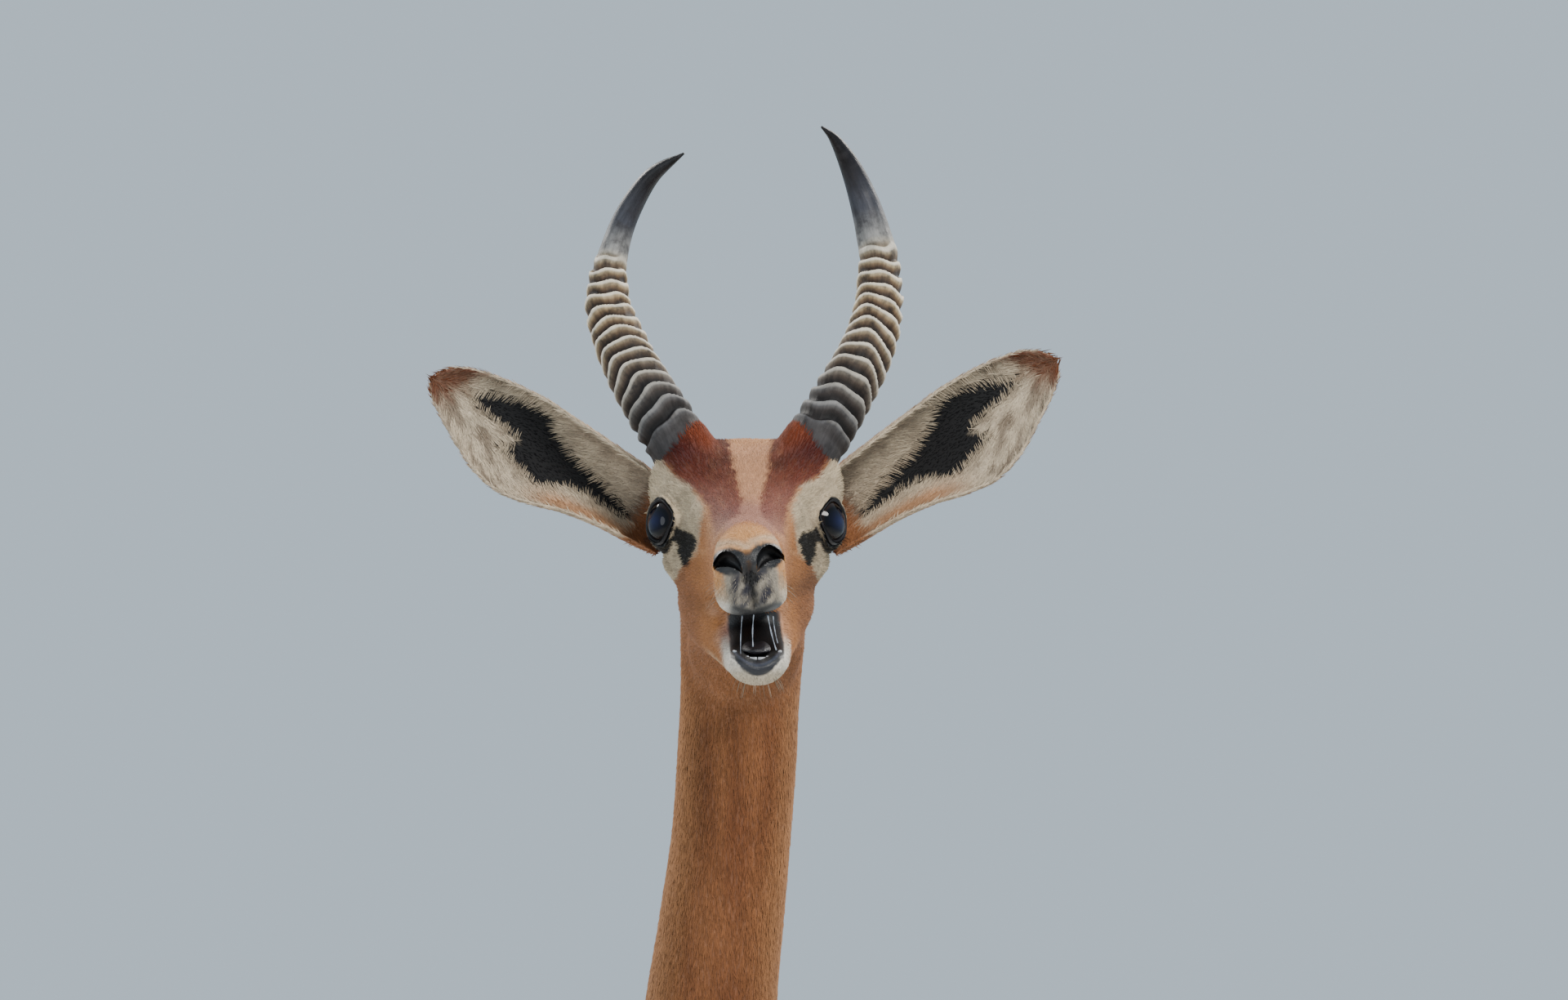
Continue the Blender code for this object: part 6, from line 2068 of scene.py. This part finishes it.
def coat_sizes(points, length, width, lift, seed):
    """Each tuft's length, width and lift: short on the nose and at the eyes, long on the collars."""
    head = in_head(points)
    x, y, z = head.T
    scale = varied(len(points), seed)
    scale = scale * (1 - 0.45 * eased((-90 - y) / 50) * (seam_distance(points) > 0))
    near_horn = np.hypot(np.hypot(np.abs(x) - 40, (y - 16) * 0.8), z - 46)
    collar = eased((30 - near_horn) / 12)
    raised = lift * (1 - 0.35 * collar) * varied(len(points), seed + 1, 0.6, 1.4)
    scale = scale * (1 + 0.25 * collar)
    width = width * (1 - 0.3 * collar)
    scale = np.where((y < -134) & (z < -20) & (z > -60), scale * 0.75, scale)
    for side in (-1, 1):
        spread, _, ahead, far = eye_spread(head, side)
        close = (far < 32) & (ahead > -4) & (spread < 1.7)
        scale = np.where(close, scale * 0.6, scale)
    sizes = length * scale * MM
    return sizes, width * varied(len(points), seed + 2, 0.8, 1.2) * (0.6 + 0.4 * scale) * MM, sizes * raised


def hairy(points, normals):
    return ~bare(points, normals)


def roots_of_hair(skin, spacing, chosen, seed, kept=hairy):
    """Places for hair on the chosen triangles, with their normals, places on the ears and lie."""
    points, normals = scattered(skin, spacing * MM, chosen, seed)
    keep = kept(points, normals)
    points, normals = points[keep], normals[keep]
    ears = EARS.find(in_head(points))
    return points, normals, ears, coat_way(points, normals, ears)


def add_coat(skin, finish):
    """Short tufts over the whole animal, in pieces that each keep their own map."""
    for number, (name, spacing, length, width, lift, chosen, mapped) in enumerate(REGIONS):
        points, normals, ears, ways = roots_of_hair(skin, spacing, chosen, 100 + number)
        sway = np.random.default_rng(200 + number).normal(0, 0.16, len(points))
        ways = unit(ways + sway[:, None] * np.cross(normals, ways))
        colours = coat_colour(points, normals, ears) * varied(len(points), 300 + number, 0.80, 1.16)[:, None]
        colours = flecked(colours, in_head(points), 500 + number)
        sizes = coat_sizes(points, length, width, lift, 400 + number)
        if name == "coat_ears":
            placed = as_left_ear(in_head(points), ears[0])
            black = (signed(EAR_BLACK, placed[:, 0], placed[:, 2]) > -2) & (ears[3] > 0)
            sizes = tuple(size * np.where(black, 0.5, 1.0) for size in sizes)
        slot = "ear_hair" if name == "coat_ears" else "coat"
        tufts(name, points, normals, ways, sizes, (colours, mapped(points, ears), finish, slot))
        print(name, len(points), "tufts")


def flecked(colours, head, seed):
    """Pale hairs among the dark ones on the front of the muzzle, beside the parting under the nose."""
    x, y, z = untwisted(head).T
    spot = (y < -136) & (z < -26) & (z > -54) & (np.abs(x) > 3) & (np.abs(x) < 18)
    chance = np.random.default_rng(seed).random(len(x))
    pale = spot & (chance < 0.22 + 0.4 * np.clip((np.abs(x) - 4) / 10, 0, 1))
    return mixed(colours, ASH, pale * 0.5)


def add_ear_fringe(skin, finish):
    """The pale combed hair that reaches over the black of each ear's cup."""
    points, normals = scattered(skin, 1.05 * MM, on_ears, 150)
    ears = EARS.find(in_head(points))
    on, share, across, inner, way_out, _ = ears
    placed = as_left_ear(in_head(points), on)
    black = signed(EAR_BLACK, placed[:, 0], placed[:, 2])
    to_right = signed(EAR_BLACK, placed[:, 0] + 1, placed[:, 2]) - black
    to_top = signed(EAR_BLACK, placed[:, 0], placed[:, 2] + 1) - black
    upper = across > 0.1
    chosen = (inner > 0) & (black < -1.5) & (black > np.where(upper, -10, -7))
    chosen = chosen & (share > 0.16) & (share < 0.93)
    toward = np.stack([to_right * np.where(on < 0, -1, 1), np.zeros(len(on)), to_top], -1)
    ways = unit(toward) + 0.45 * way_out
    ways = unit(ways - normals * np.sum(ways * normals, axis=-1)[:, None])
    points, normals, ways = points[chosen], normals[chosen], ways[chosen]
    ears = tuple(part[chosen] for part in ears)
    count = len(points)
    length = np.where(upper[chosen], 7.0, 4.6) * varied(count, 151, 0.6, 1.3) * MM
    width = np.full(count, 0.6) * varied(count, 152) * MM
    under = coat_colour(points, normals, ears)
    dark = eased((black[chosen] + 2.5) / 1.4 + 0.5)
    colours = mixed(mixed(under, EAR_PALE, dark), EAR_PALE, np.full(count, 0.35))
    colours = colours * varied(count, 154, 0.75, 1.15)[:, None]
    sizes = length, width, length * 0.18
    looks = colours, ear_spots(points, ears), finish, "ear_hair"
    locks("ear_fringe", points, normals, ways, sizes, np.zeros((count, 3)), looks)


def add_lashes(finish):
    """Short black lashes along the upper lids."""
    roots, normals, ways = [], [], []
    for side in (-1, 1):
        turns = np.linspace(math.radians(40), math.radians(155), 40)
        centre, out_ways = lid_path(side, turns, lid_edge(turns) + 0.04)
        upright = eye_frame(side)[3]
        roots.append(centre + out_ways * (EYE_RADIUS + 1.6))
        ways.append(unit(out_ways * 0.8 - upright * 0.25 + np.array([0, -0.15, 0])))
        normals.append(unit(np.cross(np.cross(ways[-1], upright), ways[-1])))
    roots, normals, ways = np.vstack(roots), np.vstack(normals), np.vstack(ways)
    count = len(roots)
    turn = turned(HEAD_TURN)
    sizes = varied(count, 160, 3.5, 5.5) * MM, np.full(count, 0.45 * MM), varied(count, 161, 0.8, 1.8) * MM
    places = np.stack([np.linspace(0.02, 0.98, count), np.full(count, 0.5)], -1)
    looks = filled(INK * 1.2, roots), places, finish, "coat_dark"
    locks("lashes", in_world(roots), normals @ turn.T, ways @ turn.T, sizes, np.zeros((count, 3)), looks)


def add_whiskers(skin, finish):
    """Sparse bristles on the lips and chin."""
    def lips(places):
        x, y, z = in_head(places).T
        upper = (z < -34) & (z > -52) & (y < -128) & (np.abs(x) > 6)
        chin = (z < -86) & (y < -122)
        return upper | chin
    points, normals, ears, lie = roots_of_hair(skin, 5.5, lips, 170)
    ways = unit(lie * 0.5 + normals * 0.9)
    across = unit(np.cross(lie, ways) + 1e-6)
    count = len(points)
    sizes = varied(count, 171, 5, 10) * MM, np.full(count, 0.24 * MM), np.zeros(count)
    bends = np.tile([0, 0.001, -0.003], (count, 1))
    colours = mixed(filled(SMOKE, points), ASH, varied(count, 172, 0, 1))
    looks = colours, face_places(points, ears), finish, "coat_dark"
    locks("whiskers", points, np.cross(ways, across), ways, sizes, bends, looks)


def add_knee_brushes(skin, finish):
    """The dark brush of longer hair on the front of each carpus."""
    def knees(places):
        return (places[:, 1] < -0.193) & (places[:, 2] > 0.345) & (places[:, 2] < 0.415)
    points, normals, ears, ways = roots_of_hair(skin, 2.4, knees, 180)
    count = len(points)
    ranges = (181, 16, 27), (182, 1.4, 2.2), (183, 3, 6)
    sizes = tuple(varied(count, *limits) * MM for limits in ranges)
    bends = np.tile([0, 0.003, -0.003], (count, 1))
    colours = BRUSH[None] * varied(count, 184, 0.6, 1.5)[:, None]
    looks = colours, leg_places(points, ears), finish, "coat_dark"
    locks("knee_brushes", points, normals, ways, sizes, bends, looks)


def add_tail(skin, finish):
    """Fawn hair at the tail's root and the long black tuft beyond."""
    def above_end(places):
        return tail_zone(places) & (places[:, 2] > 0.652)

    def not_below(_, normals):
        return normals[:, 2] > -0.9

    points, normals, _, ways = roots_of_hair(skin, 2.2, above_end, 190, not_below)
    count = len(points)
    tuft = eased((0.815 - points[:, 2]) / 0.05)
    length = (14 + 66 * tuft) * varied(count, 191, 0.75, 1.1)
    length = np.minimum(length, np.maximum((points[:, 2] - 0.597) / MM, 16))
    sizes = length * MM, varied(count, 192, 1.6, 2.6) * MM, length * MM * (0.10 + 0.05 * tuft)
    bends = np.stack([np.zeros(count), -0.004 * tuft, np.zeros(count)], -1)
    colours = mixed(filled(FLANK, points), INK, tuft) * varied(count, 193, 0.7, 1.3)[:, None]
    round_tail = angle_share(points[:, 0] - BODY_X, points[:, 1] - 0.522)
    places = np.stack([round_tail, (points[:, 2] - 0.6) / 0.32], -1)
    looks = colours, np.clip(places, 0, 1), finish, "coat_dark"
    locks("tail_tuft", points, normals, ways, sizes, bends, looks)


# The stage

CAMERA_X = 0.022
CAMERA_Z = 1.4635
CAMERA_AWAY = 10.0
FRAME_WIDTH = 0.8832
SENSOR = 36.0

# Soft lamps that face the head: place, size in metres, power in watts and colour
LIT_POINT = Vector((0, -0.35, 1.45))
LAMPS = [
    ("key", (1.5, -2.8, 3.9), 1.3, 165, (1.0, 0.97, 0.93)),
    ("fill", (-2.8, -2.6, 1.9), 2.2, 40, (0.94, 0.97, 1.0)),
    ("rim_left", (2.0, 2.0, 3.2), 1.0, 110, (1.0, 0.96, 0.9)),
    ("rim_right", (-2.0, 2.0, 3.2), 1.0, 110, (1.0, 0.96, 0.9)),
]


def add_camera():
    """A level camera straight in front of the face, as far off as a photographer of wild animals stands."""
    data = bpy.data.cameras.new("camera")
    data.sensor_width = SENSOR
    data.lens = SENSOR * CAMERA_AWAY / FRAME_WIDTH
    data.clip_end = 200
    camera = bpy.data.objects.new("camera", data)
    camera.location = (CAMERA_X, EYE_POINT.y - CAMERA_AWAY, CAMERA_Z)
    camera.rotation_euler = (math.radians(90), 0, 0)
    bpy.context.scene.collection.objects.link(camera)
    bpy.context.scene.camera = camera


def add_light(name, place, size, power, colour):
    data = bpy.data.lights.new(name, "AREA")
    data.shape = "DISK"
    data.size = size
    data.energy = power
    data.color = colour
    lamp = bpy.data.objects.new(name, data)
    lamp.location = place
    lamp.rotation_euler = (LIT_POINT - lamp.location).to_track_quat("-Z", "Y").to_euler()
    bpy.context.scene.collection.objects.link(lamp)


def add_stage():
    """A plain pale floor under soft light from above and in front, with light rims from behind."""
    mesh = bmesh.new()
    bmesh.ops.create_grid(mesh, x_segments=2, y_segments=2, size=6)
    floor = linked("floor", mesh)
    floor.data.materials.append(floor_finish())
    for lamp in LAMPS:
        add_light(*lamp)
    world = bpy.data.worlds.new("studio")
    world.use_nodes = True
    sky = world.node_tree.nodes["Background"]
    sky.inputs["Color"].default_value = (*srgb(206, 224, 238), 1)
    sky.inputs["Strength"].default_value = 0.85
    bpy.context.scene.world = world


SKIN_NODES = ["head", "lower_jaw", "neck", "torso", "tail", "ear_left", "ear_right"] + [
    f"{piece}_{label}"
    for piece in ("forearm", "fore_cannon", "gaskin", "hind_cannon")
    for _, label in SIDES
]

EARS = EarPlaces()


def add_animal():
    skin = whole_skin()
    places = finish_skin(skin)
    skin.data.materials.append(skin_finish())
    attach(skin, "root")
    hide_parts(*SKIN_NODES)
    hair = coat_finish()
    add_coat(places, hair)
    add_ear_fringe(places, hair)
    add_lashes(hair)
    add_whiskers(places, hair)
    add_knee_brushes(places, hair)
    add_tail(places, hair)
    add_horns(horn_finish())
    add_eyes(eye_finish(), lid_finish())
    add_mouth(tooth_finish(), tongue_finish())
    add_strands(thread_finish())
    add_hooves(hoof_finish())


add_animal()
add_camera()
add_stage()
